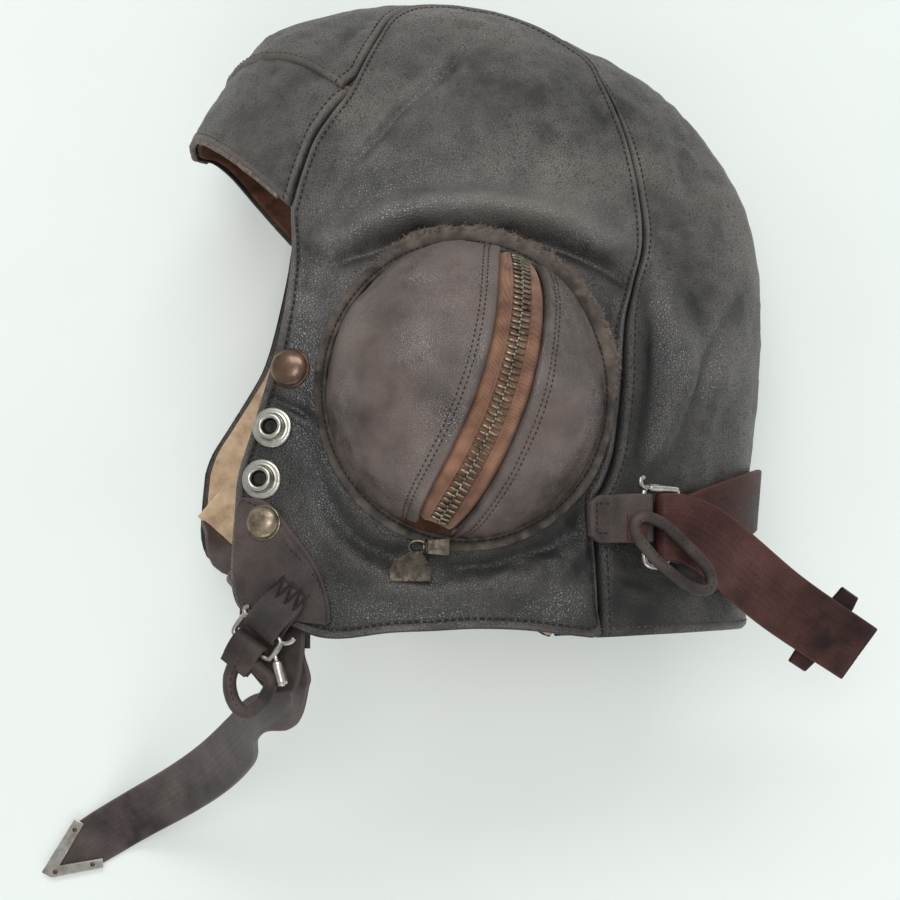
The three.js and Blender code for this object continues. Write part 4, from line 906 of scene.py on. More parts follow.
# ear cups, x across the zip and y along it, both from -1 to 1
CUP_WIDE = EAR_HALF_WIDE - DOME_LEATHER - GAP * 2
CUP_TALL = EAR_HALF_TALL - DOME_LEATHER - GAP * 2
PATCH_THICK, TAB_THICK, TAB_WIDE, BACKING_THICK = 1.2, 1.6, 17.0, 2.0
WIRE, LOOP_THICK, NAPE_LOOP_THICK, TIP_THICK, FLAP_WIDTH = 1.2, 4.8, 4.2, 0.7, 27.8


def cup_base(side, x, y):
    """dome of an ear pocket, pressed flat where it meets the table"""
    ease = 1.0 if side > 0 else FAR_CUP_EASE
    c, s = math.cos(ZIP_LEAN), math.sin(ZIP_LEAN)
    u = CUP_WIDE * ease * (x * c + y * s)
    v = CUP_TALL * ease * (y * c - x * s)
    b = turn_of(u, v)
    p = head(np.arctan2(v, u), b if side > 0 else math.pi - b)
    rho = np.minimum(1, np.hypot(x, y))
    p[..., 2] += side * DOME_HEIGHT * (1 - rho * rho) ** (1 / DOME_POWER)
    return rest(lay(p), DOME_LEATHER, CUP_SOFT)


def cup_normal(side, x, y):
    e = 0.001
    rho = np.maximum(np.hypot(x, y), 1e-4)
    dx, dy = x / rho, y / rho
    back = np.where(rho > 0.5, 0.0, e)
    out = cup_base(side, x + dx * back, y + dy * back) - cup_base(side, x - dx * e, y - dy * e)
    turn = e / np.maximum(rho, 0.2)
    c, s = np.cos(turn), np.sin(turn)
    around = cup_base(side, x * c - y * s, y * c + x * s) - cup_base(side, x * c + y * s, y * c - x * s)
    return unit(np.cross(out, around) * side)


def cup(side, x, y, d):
    x, y = np.broadcast_arrays(np.asarray(x, float) + 1e-5, np.asarray(y, float))
    return cup_base(side, x, y) + cup_normal(side, x, y) * np.asarray(d)[..., None]


def slot_mid(y):
    """middle of the zip's slot, which bows to the rear"""
    return (ZIP_SHIFT + ZIP_BOW * (1 - y * y)) / CUP_WIDE


def slot_half(y):
    return (ZIP_SLOT / 2) * (1 - 0.35 * y ** 8) / CUP_WIDE


# small rounded grains: stitches, teeth, rivets
def grains(name, centres, along, across, up, sizes, material, slot, power=0.75, rings=5, sides=6):
    """one mesh of many rounded grains, sizes are half lengths along, across and up"""
    centres, along, across, up = (np.asarray(v, float) for v in (centres, along, across, up))
    sizes = np.broadcast_to(np.asarray(sizes, float), centres.shape)
    lat = np.linspace(-math.pi / 2, math.pi / 2, rings)
    lon = np.linspace(0, 2 * math.pi, sides, endpoint=False)
    bend = lambda v: np.sign(v) * np.abs(v) ** power
    shape = np.array([(bend(math.sin(la)), bend(abs(math.cos(la))) * bend(math.cos(lo)),
                       bend(abs(math.cos(la))) * bend(math.sin(lo))) for la in lat for lo in lon])
    points = centres[:, None]
    for k, way in enumerate((along, across, up)):
        points = points + way[:, None] * (sizes[:, k, None] * shape[None, :, k])[..., None]
    starts = np.arange(len(centres)) * rings * sides
    faces = (ring_faces(rings, sides)[None] + starts[:, None, None]).reshape(-1, 4)
    obj = make_mesh(name, points.reshape(-1, 3), faces.tolist(), material)
    merge_close(obj)
    return finish_piece(obj)


def merge_close(obj, distance=1e-6):
    """join points that lie in one place and turn the faces outward"""
    mesh = bmesh.new()
    mesh.from_mesh(obj.data)
    bmesh.ops.remove_doubles(mesh, verts=mesh.verts, dist=distance)
    bmesh.ops.recalc_face_normals(mesh, faces=mesh.faces)
    mesh.to_mesh(obj.data)
    mesh.free()


def run_stitches(line, normal_at, pitch, long, wide, lean=0.0, sink=0.0, jitter=0.06):
    """stitches along a line of points: centres, directions and sizes"""
    step = run_along(line)
    count = int(step[-1] / pitch)
    if count < 2:
        return None
    s = (np.arange(count) + 0.5) * step[-1] / count + rng.uniform(-jitter, jitter, count) * pitch
    at = sample(s, step, line)
    ahead = sample(s + 0.6, step, line)
    behind = sample(s - 0.6, step, line)
    up = sample(s, step, normal_at)
    along = unit(ahead - behind)
    up = unit(up - along * (up * along).sum(axis=1, keepdims=True))
    across = np.cross(up, along)
    turn = lean + rng.uniform(-0.08, 0.08, count)
    c, sn = np.cos(turn)[:, None], np.sin(turn)[:, None]
    along, across = along * c + across * sn, across * c - along * sn
    return at - up * sink, along, across, up, np.tile([long / 2, wide / 2, wide / 2], (count, 1))


def grid_normals(grid, loop_i=False):
    ahead = np.roll(grid, -1, axis=0) - np.roll(grid, 1, axis=0) if loop_i else np.gradient(grid, axis=0)
    return unit(np.cross(np.gradient(grid, axis=1), ahead))


def outward_normals(grid):
    """normals of a grid that point away from its middle"""
    ups = grid_normals(grid)
    middle = grid.reshape(-1, 3).mean(axis=0)
    return ups * np.sign(((grid - middle) * ups).sum(axis=-1).mean())


def line_on(grid, normals, distance, wanted):
    """the line on a grid at one distance from its rim, with its normals"""
    points, ups = [], []
    for i in range(len(grid)):
        row = distance[i]
        below = np.nonzero(row <= wanted)[0]
        if len(below) == 0 or below[0] == 0:
            continue
        j = int(below[0])
        t = (row[j - 1] - wanted) / max(row[j - 1] - row[j], 1e-6)
        points.append(mix(grid[i, j - 1], grid[i, j], t))
        ups.append(mix(normals[i, j - 1], normals[i, j], t))
    return np.array(points), np.array(ups)


class Stitches:
    """stitches gathered into one mesh"""

    def __init__(self):
        self.parts = []

    def add(self, line, up, pitch=2.5, long=1.9, wide=0.55, lean=0.0, sink=0.05):
        if len(line) > 2:
            made = run_stitches(line, up, pitch, long, wide, lean, sink)
            if made is not None:
                self.parts.append(made)

    def build(self, name, material, slot):
        joined = [np.concatenate([p[k] for p in self.parts]) for k in range(5)]
        return grains(name, *joined, material, slot, 0.85, 4, 6)


# tubes and bands
def centripetal(points, steps, loop=False):
    """points on a centripetal Catmull-Rom curve, the same number in each stretch"""
    p = np.array(points, float)
    n = len(p)
    out = []
    for k in range(n if loop else n - 1):
        p1, p2 = p[k], p[(k + 1) % n]
        p0 = p[k - 1] if loop or k > 0 else 2 * p1 - p2
        p3 = p[(k + 2) % n] if loop or k < n - 2 else 2 * p2 - p1
        d0, d1, d2 = (max(math.sqrt(np.linalg.norm(v)), 1e-4) for v in (p1 - p0, p2 - p1, p3 - p2))
        t1 = ((p1 - p0) / d0 - (p2 - p0) / (d0 + d1) + (p2 - p1) / d1) * d1
        t2 = ((p2 - p1) / d1 - (p3 - p1) / (d1 + d2) + (p3 - p2) / d2) * d1
        t = np.linspace(0, 1, steps, endpoint=False)[:, None]
        out.append(p1 + t1 * t + (-3 * p1 + 3 * p2 - 2 * t1 - t2) * t ** 2
                   + (2 * p1 - 2 * p2 + t1 + t2) * t ** 3)
    if not loop:
        out.append(p[-1:])
    return np.vstack(out)


def tube_points(line, radius, sides, loop):
    """rings round a line, turned as little as possible from one to the next"""
    n = len(line)
    ahead = np.roll(line, -1, axis=0) - np.roll(line, 1, axis=0) if loop else np.gradient(line, axis=0)
    tangent = unit(ahead)
    normal = unit(np.cross(tangent[0], vec(0.3, 0.2, 1.0)))
    normals = []
    for t in tangent:
        normal = unit(normal - t * normal.dot(t))
        normals.append(normal)
    normals = np.array(normals)
    if loop:
        last = normals[-1]
        carried = unit(last - tangent[0] * last.dot(tangent[0]))
        twist = math.atan2(np.cross(carried, normals[0]).dot(tangent[0]), carried.dot(normals[0]))
        share = np.arange(n)[:, None] / n * twist
        side = np.cross(tangent, normals)
        normals = normals * np.cos(share) + side * np.sin(share)
    side = np.cross(tangent, normals)
    g = np.linspace(0, 2 * math.pi, sides, endpoint=False)[None, :, None]
    radius = np.broadcast_to(np.asarray(radius, float), (n,))
    ring = normals[:, None] * np.cos(g) + side[:, None] * np.sin(g)
    return line[:, None] + ring * radius[:, None, None]


def tube(name, line, radius, sides, loop, material, nodes=()):
    rings = tube_points(line, radius, sides, loop)
    n = len(line)
    faces = ring_faces(n, sides, loop).tolist()
    points = rings.reshape(-1, 3)
    if not loop:
        points = np.vstack([points, line[0], line[-1]])
        first, last = len(points) - 2, len(points) - 1
        faces += [[first, (k + 1) % sides, k] for k in range(sides)]
        faces += [[last, (n - 1) * sides + k, (n - 1) * sides + (k + 1) % sides] for k in range(sides)]
    obj = make_mesh(name, points, faces, material)
    merge_close(obj)
    return finish_piece(obj, nodes)


def band_lines(stations, steps):
    """centre line, width direction, face direction and half width of a band"""
    at = centripetal([s[0] for s in stations], steps)
    side = centripetal([unit(np.asarray(s[1], float)) for s in stations], steps)
    wide = centripetal([[s[2], 0, 0] for s in stations], steps)[:, 0]
    tangent = unit(np.gradient(at, axis=0))
    side = unit(side - tangent * (side * tangent).sum(axis=1, keepdims=True))
    return at, side, np.cross(tangent, side), wide / 2


def band(name, stations, thick, steps, material, nodes, ribs=0.0, rib_pitch=1.5, edge=None):
    """flat strap with rounded edges and fine ribs along it"""
    at, side, up, half = band_lines(stations, steps)
    x = eased(45)
    across = half[:, None] * x[None, :]
    from_rim = half[:, None] - np.abs(across)
    full = (thick / 2) * (1 - rolled(from_rim, 0.8))
    run = run_along(at)[:, None]
    rough = noise(stack(across, run, 0.0), 5.0, 21) * 0.12 + noise(stack(across, run, 0.0), 17.0, 5) * 0.25
    rib = ribs * np.cos(2 * math.pi * (across + 0.12 * np.sin(run / 9.0)) / rib_pitch) * ramp(from_rim / 1.5)
    middle = at[:, None] + side[:, None] * across[..., None]
    top = middle + up[:, None] * (full + rib + rough * 0.5)[..., None]
    low = middle + up[:, None] * (rib * 0.5 - full + rough * 0.5)[..., None]
    above_table(top, low, 0.25, 0.05)
    obj = shell(name, top, low, material)
    shade = 0.5 + 0.25 * (1 - ramp(from_rim / 1.6)) + noise(stack(across, run, 3.0), 9.0, 31) * 0.12
    tone_both(obj, shade - (rib < 0) * 0.1 * (ribs > 0))
    if edge is not None:
        obj.data.materials.append(edge)
        rows, columns = top.shape[:2]
        for face in list(obj.data.polygons)[2 * (rows - 1) * (columns - 1):]:
            face.material_index = 1
    return finish_piece(obj, nodes)


# flat sheets laid on the side panel, x to the rear and y to the crown
def flap_u(off):
    """place along the panel of a share of the flap's width"""
    return -(EAR_HALF_WIDE + RING_WIDTH + off * FLAP_WIDTH)


class Spot:
    """frame on the panel at side coordinates"""

    def __init__(self, side, cu, cv):
        self.side, self.cu, self.cv = side, cu, cv
        e = 0.5
        du = (skin_at(side, cu + e, cv, LEATHER) - skin_at(side, cu - e, cv, LEATHER)) / (2 * e)
        dv = (skin_at(side, cu, cv + e, LEATHER) - skin_at(side, cu, cv - e, LEATHER)) / (2 * e)
        self.n = unit(np.cross(du, dv) * side)
        self.ex = unit(vec(1, 0, 0) - self.n * self.n[0])
        self.ey = np.cross(self.n, self.ex) * side
        self.m = (du.dot(self.ex), dv.dot(self.ex), du.dot(self.ey), dv.dot(self.ey))
        self.origin = skin_at(side, cu, cv, LEATHER)

    def at(self, x, y, h):
        a, b, c, d = self.m
        det = a * d - b * c
        u = self.cu + (d * x - b * y) / det
        v = self.cv + (a * y - c * x) / det
        return skin_at(self.side, u, v, LEATHER + np.asarray(h))

    def flat(self, x, y, h):
        x, y, h = (np.asarray(k, float)[..., None] for k in (x, y, h))
        return self.origin + self.ex * x + self.ey * y + self.n * h


def turned(name, put, profile, material, nodes=(), sides=40):
    """turned profile, radius and height pairs, from the axis to the axis"""
    rows = np.array(profile, float)
    g = np.linspace(0, 2 * math.pi, sides, endpoint=False)
    r, h = rows[:, 0][:, None], rows[:, 1][:, None]
    points = put(r * np.cos(g), r * np.sin(g), h + 0 * g)
    obj = make_mesh(name, points.reshape(-1, 3), ring_faces(len(rows), sides).tolist(), material)
    merge_close(obj, 1e-5)
    return finish_piece(obj, nodes)


def from_node(node, name, material, bevel=0.25, segments=3):
    """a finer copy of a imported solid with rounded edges"""
    source = bpy.data.objects[node]
    obj = bpy.data.objects.new(name, source.data.copy())
    bpy.context.scene.collection.objects.link(obj)
    merge_close(obj, 1e-6)
    obj.data.materials.clear()
    obj.data.materials.append(material)
    for face in obj.data.polygons:
        face.material_index = 0
        face.use_smooth = True
    cut = obj.modifiers.new("bevel", "BEVEL")
    cut.width = bevel / 1000.0
    cut.segments = segments
    cut.limit_method = "ANGLE"
    cut.angle_limit = math.radians(28)
    cut.harden_normals = False
    return finish_piece(obj, [node])


set_camera()
set_stage()

left_top, left_distance, left_on_seam = build_side_panel(1, "left_side_panel")
build_side_panel(-1, "right_side_panel")
brow_top, brow_distance = build_gore("brow_panel", (0, BROW_ROWS), 0.0, -2.5)
# the gore laps over the brow, and its near hem hangs lower than its far one
gore_x = np.linspace(1, -1, GORE_STEPS)
LAP_FRONT = -(3.0 + 4.0 * (1 - gore_x ** 2))
HEM_DROP = -1.2 * ramp((gore_x + 0.1) / 0.6) + 3.0 * ramp((-0.2 - gore_x) / 0.4)
gore_top, gore_distance = build_gore("crown_gore", (BROW_ROWS, len(SEAM) - 1), LAP_FRONT, HEM_DROP)


# nap lining of the brow and the crown
def build_crown_lining():
    short = 1.5 + np.maximum(HEM_DROP, 0) + 5.0 * ramp((0.3 - gore_x) / 0.5)
    angle, turn = gore_grid((0, len(SEAM) - 1), 0.6, 1.6, short)
    angle, turn = angle[::2, ::2], turn[::2, ::2]
    flat = skin_grid(angle, turn, 0.0)
    tuft = np.abs(layered(flat, 6.0, 15, 3)) * 0.7
    top = skin_grid(angle, turn, -GAP - 0.25)
    low = skin_grid(angle, turn, -GAP - LINING - 0.6 - tuft)
    folds, _ = relief(flat, 1)
    upper = ramp((flat[..., 2] - 45) / 40)
    dip = np.minimum(folds * ramp(rim_distance(flat, True) / 9.0), 0.0) * upper
    normal = skin_normal(angle, turn) * dip[..., None]
    top, low = top + normal, low + normal
    above_table(top, low, 0.5, 0.3)
    obj = shell("crown_nap", top, low, nap)
    finish_piece(obj, ["crown_lining"])


build_crown_lining()
rim_line = brow_top[0, 3:-3] + unit(brow_top[0, 3:-3] - brow_top[1, 3:-3]) * 0.1
rim_line[:, 2] = np.maximum(rim_line[:, 2] - 0.6, 1.3)
rim_line = rim_line[:70]
rim_wide = 1.0 + 0.18 * noise(rim_line, 5.0, 66)
tube("brow_rim", rim_line, rim_wide, 12, False, edge_leather)


# ear cups: two leather halves, a tape between them and the ring round the foot
DOME_ROWS, DOME_COLS, DOME_SEWN_AT = 150, 64, (4.3, 6.1)
DOME_CREASES = [
    ([(338, 470), (360, 500), (392, 528)], 4, -0.9),
    ([(334, 440), (352, 480), (380, 512)], 4, 0.7),
    ([(352, 330), (362, 380), (364, 430)], 14, 0.6),
    ([(430, 300), (452, 350), (446, 410), (425, 460)], 22, -0.7),
    ([(540, 350), (556, 400), (548, 450)], 16, 0.6),
    ([(568, 330), (584, 380), (580, 430)], 8, -0.5),
    ([(380, 300), (415, 282), (450, 272)], 6, -0.4),
]


def build_dome_half(side, side_name, half, half_name):
    """one leather half of an ear pocket's dome; gives its outside and the distance to the slot"""
    rows_of, columns = (DOME_ROWS, DOME_COLS) if side > 0 else (DOME_ROWS // 2, DOME_COLS // 2)
    t = np.radians(np.linspace(-78, 78, rows_of))[:, None]
    y = np.sin(t)
    inner = slot_mid(y) + half * slot_half(y)
    outer = half * np.cos(t)
    s = np.sin(np.linspace(0, 1, columns) * math.pi / 2)[None, :]
    x = mix(inner, outer, s)
    y = y + 0 * s
    flat = cup(side, x, y, DOME_LEATHER + 0 * x)
    step = np.linalg.norm(np.diff(flat, axis=1), axis=-1)
    from_slot = np.concatenate([np.zeros((len(flat), 1)), np.cumsum(step, axis=1)], axis=1)
    from_foot = from_slot[:, -1:] - from_slot
    angle = np.arctan2(y, x)
    pucker = np.sin(angle * 46 + noise(flat, 9.0, 12) * 3.0) * 0.28 * np.exp(-from_foot / 4.0)
    high = layered(flat, 24.0, 51, 3) * 0.95 + pucker - np.abs(layered(flat, 8.0, 61, 3)) * 0.35
    if side > 0:
        px = pixel(flat)
        for path, wide, rise in DOME_CREASES:
            d, along = line_distance(px, spline(path, 20))
            high = high + rise * hump(d, wide) * np.sin(math.pi * (0.05 + 0.9 * along)) ** 0.5
    else:
        high = np.minimum(high, 0.2)
    high = high * ramp(from_slot / 6.0) * ramp((from_foot + 3) / 9.0)
    edge = -DOME_LEATHER * 0.45 * rolled(from_slot, 1.3)
    rows = sum(-0.28 * hump(from_slot, 0.5, at) for at in DOME_SEWN_AT)
    puff = 0.25 * hump(from_slot, 1.6, 2.4)
    high = high + edge + rows + puff
    top = cup(side, x, y, DOME_LEATHER + high)
    low = cup(side, x, y, np.minimum(high, 0.0) * 0.6)
    above_table(top, low, 0.4, 0.3)
    obj = shell(f"{side_name}_dome_{half_name}", top, low, dome_leather, False, half * side > 0)
    piping = 0.2 if half < 0 else -0.42
    # painted shade in the dome's creases and painted highlight on its puffs, a lighter slot edge on the front
    # half and dark piping on the rear half, and painted shade round the foot
    shade = 0.5 + high * 0.08 + piping * hump(from_slot, 0.8, 0.6) - 0.3 * hump(from_foot, 5.0)
    shade = shade + 0.28 * ramp(layered(flat, 22.0, 71, 3) - 0.15)
    tone_both(obj, shade)
    sheen = (0.45 + 0.8 * noise(flat, 13.0, 72)) * ramp(from_foot / 14.0)
    tone_both(obj, sheen, "gloss")
    finish_piece(obj, [f"{side_name}_ear_dome_{half_name}"])
    return top, from_slot


def cup_line(side, y, shift, d):
    """points and normals along the zip, shift in mm across it"""
    x = slot_mid(y) + shift / CUP_WIDE
    return cup(side, x, y, d + 0 * y), cup_normal(side, x, y)


TOOTH_PITCH, TOOTH_SIZE, TOOTH_HEAD_SIZE, BEAD_SHIFT = 1.2, [2.0, 0.52, 0.72], [0.62, 0.7, 0.5], 3.75


def build_zip(side, side_name):
    """tape, teeth and the two beads of an ear pocket's zip"""
    y = np.sin(np.radians(np.linspace(-78, 78, 170)))[:, None] * 0.985
    wide = slot_half(y) + np.where(np.abs(y) < 0.9, 1.6, 0.4) / CUP_WIDE
    s = np.linspace(-1, 1, 41)[None, :]
    x = slot_mid(y) + wide * s
    inside = ramp((slot_half(y) * CUP_WIDE - np.abs(s) * wide * CUP_WIDE) / 1.6)
    across = s * wide * CUP_WIDE
    hem = 0.28 * hump(np.abs(across), 0.5, 4.1)
    d = mix(-0.5, 0.75, inside) + hem + layered(cup(side, x, y + 0 * x, 0 * x), 7.0, 91, 2) * 0.14 * inside
    top = cup(side, x, y + 0 * x, d)
    low = cup(side, x, y + 0 * x, d - 0.8)
    above_table(top, low, 0.4, 0.3)
    obj = shell(f"{side_name}_tape", top, low, tape_cloth, False, side < 0)
    finish_piece(obj, [f"{side_name}_zip_tape"])
    way = np.sin(np.radians(np.linspace(-72, 72, 600)))
    line, up = cup_line(side, way, 0.0, 1.25)
    run = run_along(line)
    s = np.arange(TOOTH_PITCH, run[-1] - TOOTH_PITCH, TOOTH_PITCH)
    at = sample(s, run, line)
    normal = unit(sample(s, run, up))
    along = unit(np.gradient(at, axis=0))
    across = np.cross(normal, along)
    sign = np.where(np.arange(len(s)) % 2, 1.0, -1.0)[:, None]
    lean = rng.uniform(-0.05, 0.05, (len(s), 1))
    tooth_way = unit(across + along * lean)
    body = grains(f"{side_name}_teeth", at + across * sign * 1.35, tooth_way, along, normal,
                  TOOTH_SIZE, dark_brass, "dark_brass", 0.6, 5, 8)
    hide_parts(f"{side_name}_zip_teeth")
    grains(f"{side_name}_tooth_heads", at + across * sign * 0.25 + normal * 0.35, along, across, normal,
           TOOTH_HEAD_SIZE, dark_brass, "dark_brass", 0.8, 5, 8)
    for shift in (-BEAD_SHIFT, BEAD_SHIFT):
        bead, _ = cup_line(side, way[::3], shift, 1.05)
        bead_name = f"{side_name}_bead_{'front' if shift < 0 else 'rear'}"
        tube(bead_name, bead, 0.42, 8, False, tape_cloth)


def build_fibres(grid, normals, column, frayed):
    """loose fibres along the frayed part of a ring's outer edge"""
    pick = np.repeat(np.flatnonzero(frayed > 0.15), 3)
    count = len(pick)
    up = normals[pick, column]
    out = unit(grid[pick, column] - grid[pick, column - 3])
    aside = unit(np.cross(up, out))
    swing = rng.uniform(-1.0, 1.0, (count, 1))
    along = unit(out * np.cos(swing) + aside * np.sin(swing) + up * rng.uniform(-0.1, 0.4, (count, 1)))
    long = rng.uniform(0.4, 1.5, count)
    at = grid[pick, column] + along * long[:, None] * 0.5
    at = at - out * rng.uniform(0.0, 2.2, (count, 1)) + up * 0.15
    grains("ring_fibres", at, along, unit(np.cross(along, up)), up, stack(long, 0.11, 0.11),
           edge_leather, "shell_leather", 0.8, 4, 5)


# section of the ear ring: place outward and height
RING_SHAPE = [
    (-1.5, 0.0), (-1.45, 0.9), (-1.1, 1.45), (-0.5, 1.5), (0.2, 1.2), (0.9, 1.35),
    (1.7, 1.5), (2.6, 1.45), (3.4, 1.3), (3.9, 1.0), (4.15, 0.5), (4.2, 0.0),
]
RING_GROOVE_AT, RING_FIBRES_AT = 0.2, 3.6


def build_ring(side, side_name):
    """ring round the foot of an ear pocket, frayed in part; gives its stitched line"""
    a = np.linspace(0, 2 * math.pi, 560 if side > 0 else 280, endpoint=False)[::-1]
    shape = centripetal(RING_SHAPE, 2)
    out, rise = shape[None, :, 0], shape[None, :, 1]
    base = skin_at(side, np.cos(a) * EAR_HALF_WIDE, np.sin(a) * EAR_HALF_TALL, 0 * a)
    frayed = ramp((np.cos(a - math.radians(62)) - 0.35) / 0.4)
    rough = noise(base, 2.2, 33) * 0.5 + noise(base, 0.9, 34) * 0.35
    reach_out = 0.35 * noise(base, 11.0, 35) + rough * (0.3 + 1.2 * frayed) + 3.4 * frayed - 0.8
    grow = out + reach_out[:, None] * ramp((out - 0.4) / 3.6)
    high = rise * (1 + 0.1 * noise(base, 6.0, 36))[:, None]
    tufts = noise(stack(base[:, :1], base[:, 1:2], grow * 1.2), 1.1, 37)
    high = high + (0.3 + 0.5 * frayed[:, None]) * tufts * ramp(out - 1.0) * (high > 0.2)
    turn = hole_turn(a[:, None] + 0 * grow, grow)
    turn = turn if side > 0 else math.pi - turn
    angle = a[:, None] + 0 * turn
    top = skin_grid(angle, turn, LEATHER + 0.1 + high)
    low = skin_grid(angle, turn, LEATHER + 0.05 + 0 * high)
    if side < 0:
        above_table(top, low, 0.3, 0.15)
    obj = shell(f"{side_name}_ring", top, low, ring_leather, True, side > 0)
    shade = 0.5 + 0.42 * ramp((out - 0.8) / 3.0) * (0.15 + 0.85 * frayed[:, None])
    shade = shade + 0.25 * noise(top, 2.5, 38) - 0.3 * hump(out, 0.5, RING_GROOVE_AT)
    tone_both(obj, shade)
    merge_close(obj, 1e-7)
    finish_piece(obj, [f"{side_name}_ear_ring"])
    if side > 0:
        column = int(np.argmin(np.abs(shape[:, 0] - RING_FIBRES_AT)))
        build_fibres(top, skin_normal(angle, turn), column, frayed)
    groove = int(np.argmin(np.abs(shape[:, 0] - RING_GROOVE_AT)))
    return top[:, groove], skin_normal(angle[:, groove], turn[:, groove])


dome_stitches = Stitches()
ring_stitches = Stitches()
for side, side_name in ((1, "left"), (-1, "right")):
    for half, half_name in ((-1, "front"), (1, "rear")):
        dome, from_slot = build_dome_half(side, side_name, half, half_name)
        if side > 0:
            ups = grid_normals(dome) * half * -1
            ups = ups * np.sign(ups[..., 2:3].mean())
            for at in DOME_SEWN_AT:
                line, normal = line_on(dome[:, ::-1], ups[:, ::-1], from_slot[:, ::-1], at)
                dome_stitches.add(line, normal, 1.9, 1.25, 0.62, 0.0, 0.05)
    build_zip(side, side_name)
    line, normal = build_ring(side, side_name)
    if side > 0:
        line, normal = np.vstack([line, line[:1]]), np.vstack([normal, normal[:1]])
        ring_stitches.add(line, normal, 2.2, 1.6, 0.7, 0.12, -0.05)
dome_stitches.build("dome_stitches", thread, "dome_leather")
ring_stitches.build("ring_stitches", thread, "shell_leather")


# stitches along seams and hems: distance from the rim, then pitch, length, width, lean and sink
SEAM_ROW_AT, HEM_ROW_AT = 3.6, 3.4
SEAM_STITCH = (2.5, 1.75, 0.72, 0.0, -0.05)
HEM_STITCH = (2.4, 1.6, 0.6, 0.0, -0.05)


def build_shell_stitches():
    rows = Stitches()
    normals = grid_normals(left_top, True)
    normals = normals * np.sign(normals[..., 2:3].mean())
    seam_part = left_on_seam > 0.5
    for part, at in ((seam_part, SEAM_ROW_AT), (~seam_part, HEM_ROW_AT)):
        rows.add(*line_on(left_top[part], normals[part], left_distance[part], at), *SEAM_STITCH)
    for grid, distance in ((brow_top, brow_distance), (gore_top, gore_distance)):
        ups = outward_normals(grid)
        half = grid.shape[1] // 2
        for piece in (slice(half - 1, None, -1), slice(half, None)):
            line = line_on(grid[:, piece], ups[:, piece], distance[:, piece], SEAM_ROW_AT)
            rows.add(*line, *SEAM_STITCH)
    hems = Stitches()
    for grid in (brow_top, gore_top):
        ups = outward_normals(grid)
        first, end = end_distance(grid)
        for away, step in ((first, -1), (end, 1)):
            rows_in = (part.swapaxes(0, 1)[:, ::step] for part in (grid, ups, away))
            hems.add(*line_on(*rows_in, HEM_ROW_AT), *HEM_STITCH)
    rows.build("shell_stitches", thread, "shell_leather")
    hems.build("hem_stitches", olive_thread, "shell_leather")


build_shell_stitches()


# flap fittings: corner patch, caps and studs
STUDS = [
    ("cap_upper", 0.266, 0.052, 13.4, "cap"), ("stud_upper", 0.484, -0.076, 14.4, "stud"),
    ("stud_lower", 0.613, -0.186, 14.4, "stud"), ("cap_lower", 0.568, -0.279, 11.8, "cap"),
]
PATCH_EDGE = [
    (0.85, -0.222), (0.556, -0.232), (0.327, -0.27), (0.149, -0.311),
    (-0.036, -0.355), (-0.165, -0.4), (-0.241, -0.45), (-0.266, -0.49),
]
PATCH_OUTER = [
    (0.919, -0.25), (0.951, -0.335), (0.943, -0.405), (0.79, -0.452),
    (0.351, -0.478), (0.065, -0.491), (-0.137, -0.495), (-0.197, -0.497),
]
# sections as shares of the radius and heights in mm
CAP_SHAPE = [
    (0.0, -0.8), (0.9, -0.8), (0.97, 0.2), (1.0, 0.9), (0.97, 1.4),
    (0.86, 2.2), (0.6, 2.95), (0.3, 3.3), (0.0, 3.4),
]
STUD_SHAPE = [
    (0.0, -0.8), (0.96, -0.8), (1.0, 0.0), (0.985, 0.55), (0.9, 0.85), (0.78, 0.9), (0.7, 1.15), (0.66, 2.4),
    (0.65, 3.4), (0.6, 3.95), (0.5, 4.1), (0.42, 3.85), (0.38, 3.1), (0.36, 1.9), (0.3, 1.75), (0.0, 1.7),
]
CORE_SHAPE = [(0.0, 1.5), (0.34, 1.5), (0.34, 2.2), (0.3, 2.5), (0.2, 2.6), (0.15, 2.4), (0.0, 2.3)]


def section(shape, radius, steps):
    """smooth profile of a turned piece, just off the axis at its ends"""
    return centripetal([(max(share * radius, 0.01), high) for share, high in shape], steps)


def build_patch():
    inner = centripetal([[flap_u(off), up * CROWN_RISE] for off, up in PATCH_EDGE], 10)
    outer = centripetal([[flap_u(off), up * CROWN_RISE] for off, up in PATCH_OUTER], 10)
    t = np.linspace(0, 1, 44)[None, :, None]
    uv = mix(inner[:, None], outer[:, None], t)
    flat = skin_at(1, uv[..., 0], uv[..., 1], LEATHER + 0 * uv[..., 0])
    from_inner = np.linalg.norm(flat - flat[:, :1], axis=-1)
    from_outer = np.linalg.norm(flat - flat[:, -1:], axis=-1)
    rim = np.minimum(from_inner, from_outer)
    rounded = -PATCH_THICK * 0.6 * rolled(rim, 1.0)
    soft = layered(flat, 9.0, 41, 3) * 0.25
    row = -0.3 * hump(from_inner, 0.5, 2.6)
    h = LEATHER + GAP + PATCH_THICK + rounded + soft + row
    top = skin_at(1, uv[..., 0], uv[..., 1], h)
    low = skin_at(1, uv[..., 0], uv[..., 1], LEATHER - 0.2 + 0 * h)
    obj = shell("flap_patch", top, low, tab_leather)
    # lighter where the patch stands higher and darker where it sinks, as painted shade, with a lighter rim
    shade = 0.5 + soft * 0.5 + 0.35 * hump(rim, 0.9)
    tone_both(obj, shade)
    merge_close(obj, 1e-7)
    finish_piece(obj, ["left_flap_patch"])
    u, v = mix(inner, outer, 0.16).T
    line = skin_at(1, u, v, LEATHER + GAP + PATCH_THICK - 0.1 + 0 * u)
    return line, unit(line - skin_at(1, u, v, 0 * u))


fitting_stitches = Stitches()
fitting_stitches.add(*build_patch(), 2.3, 1.5, 0.5)

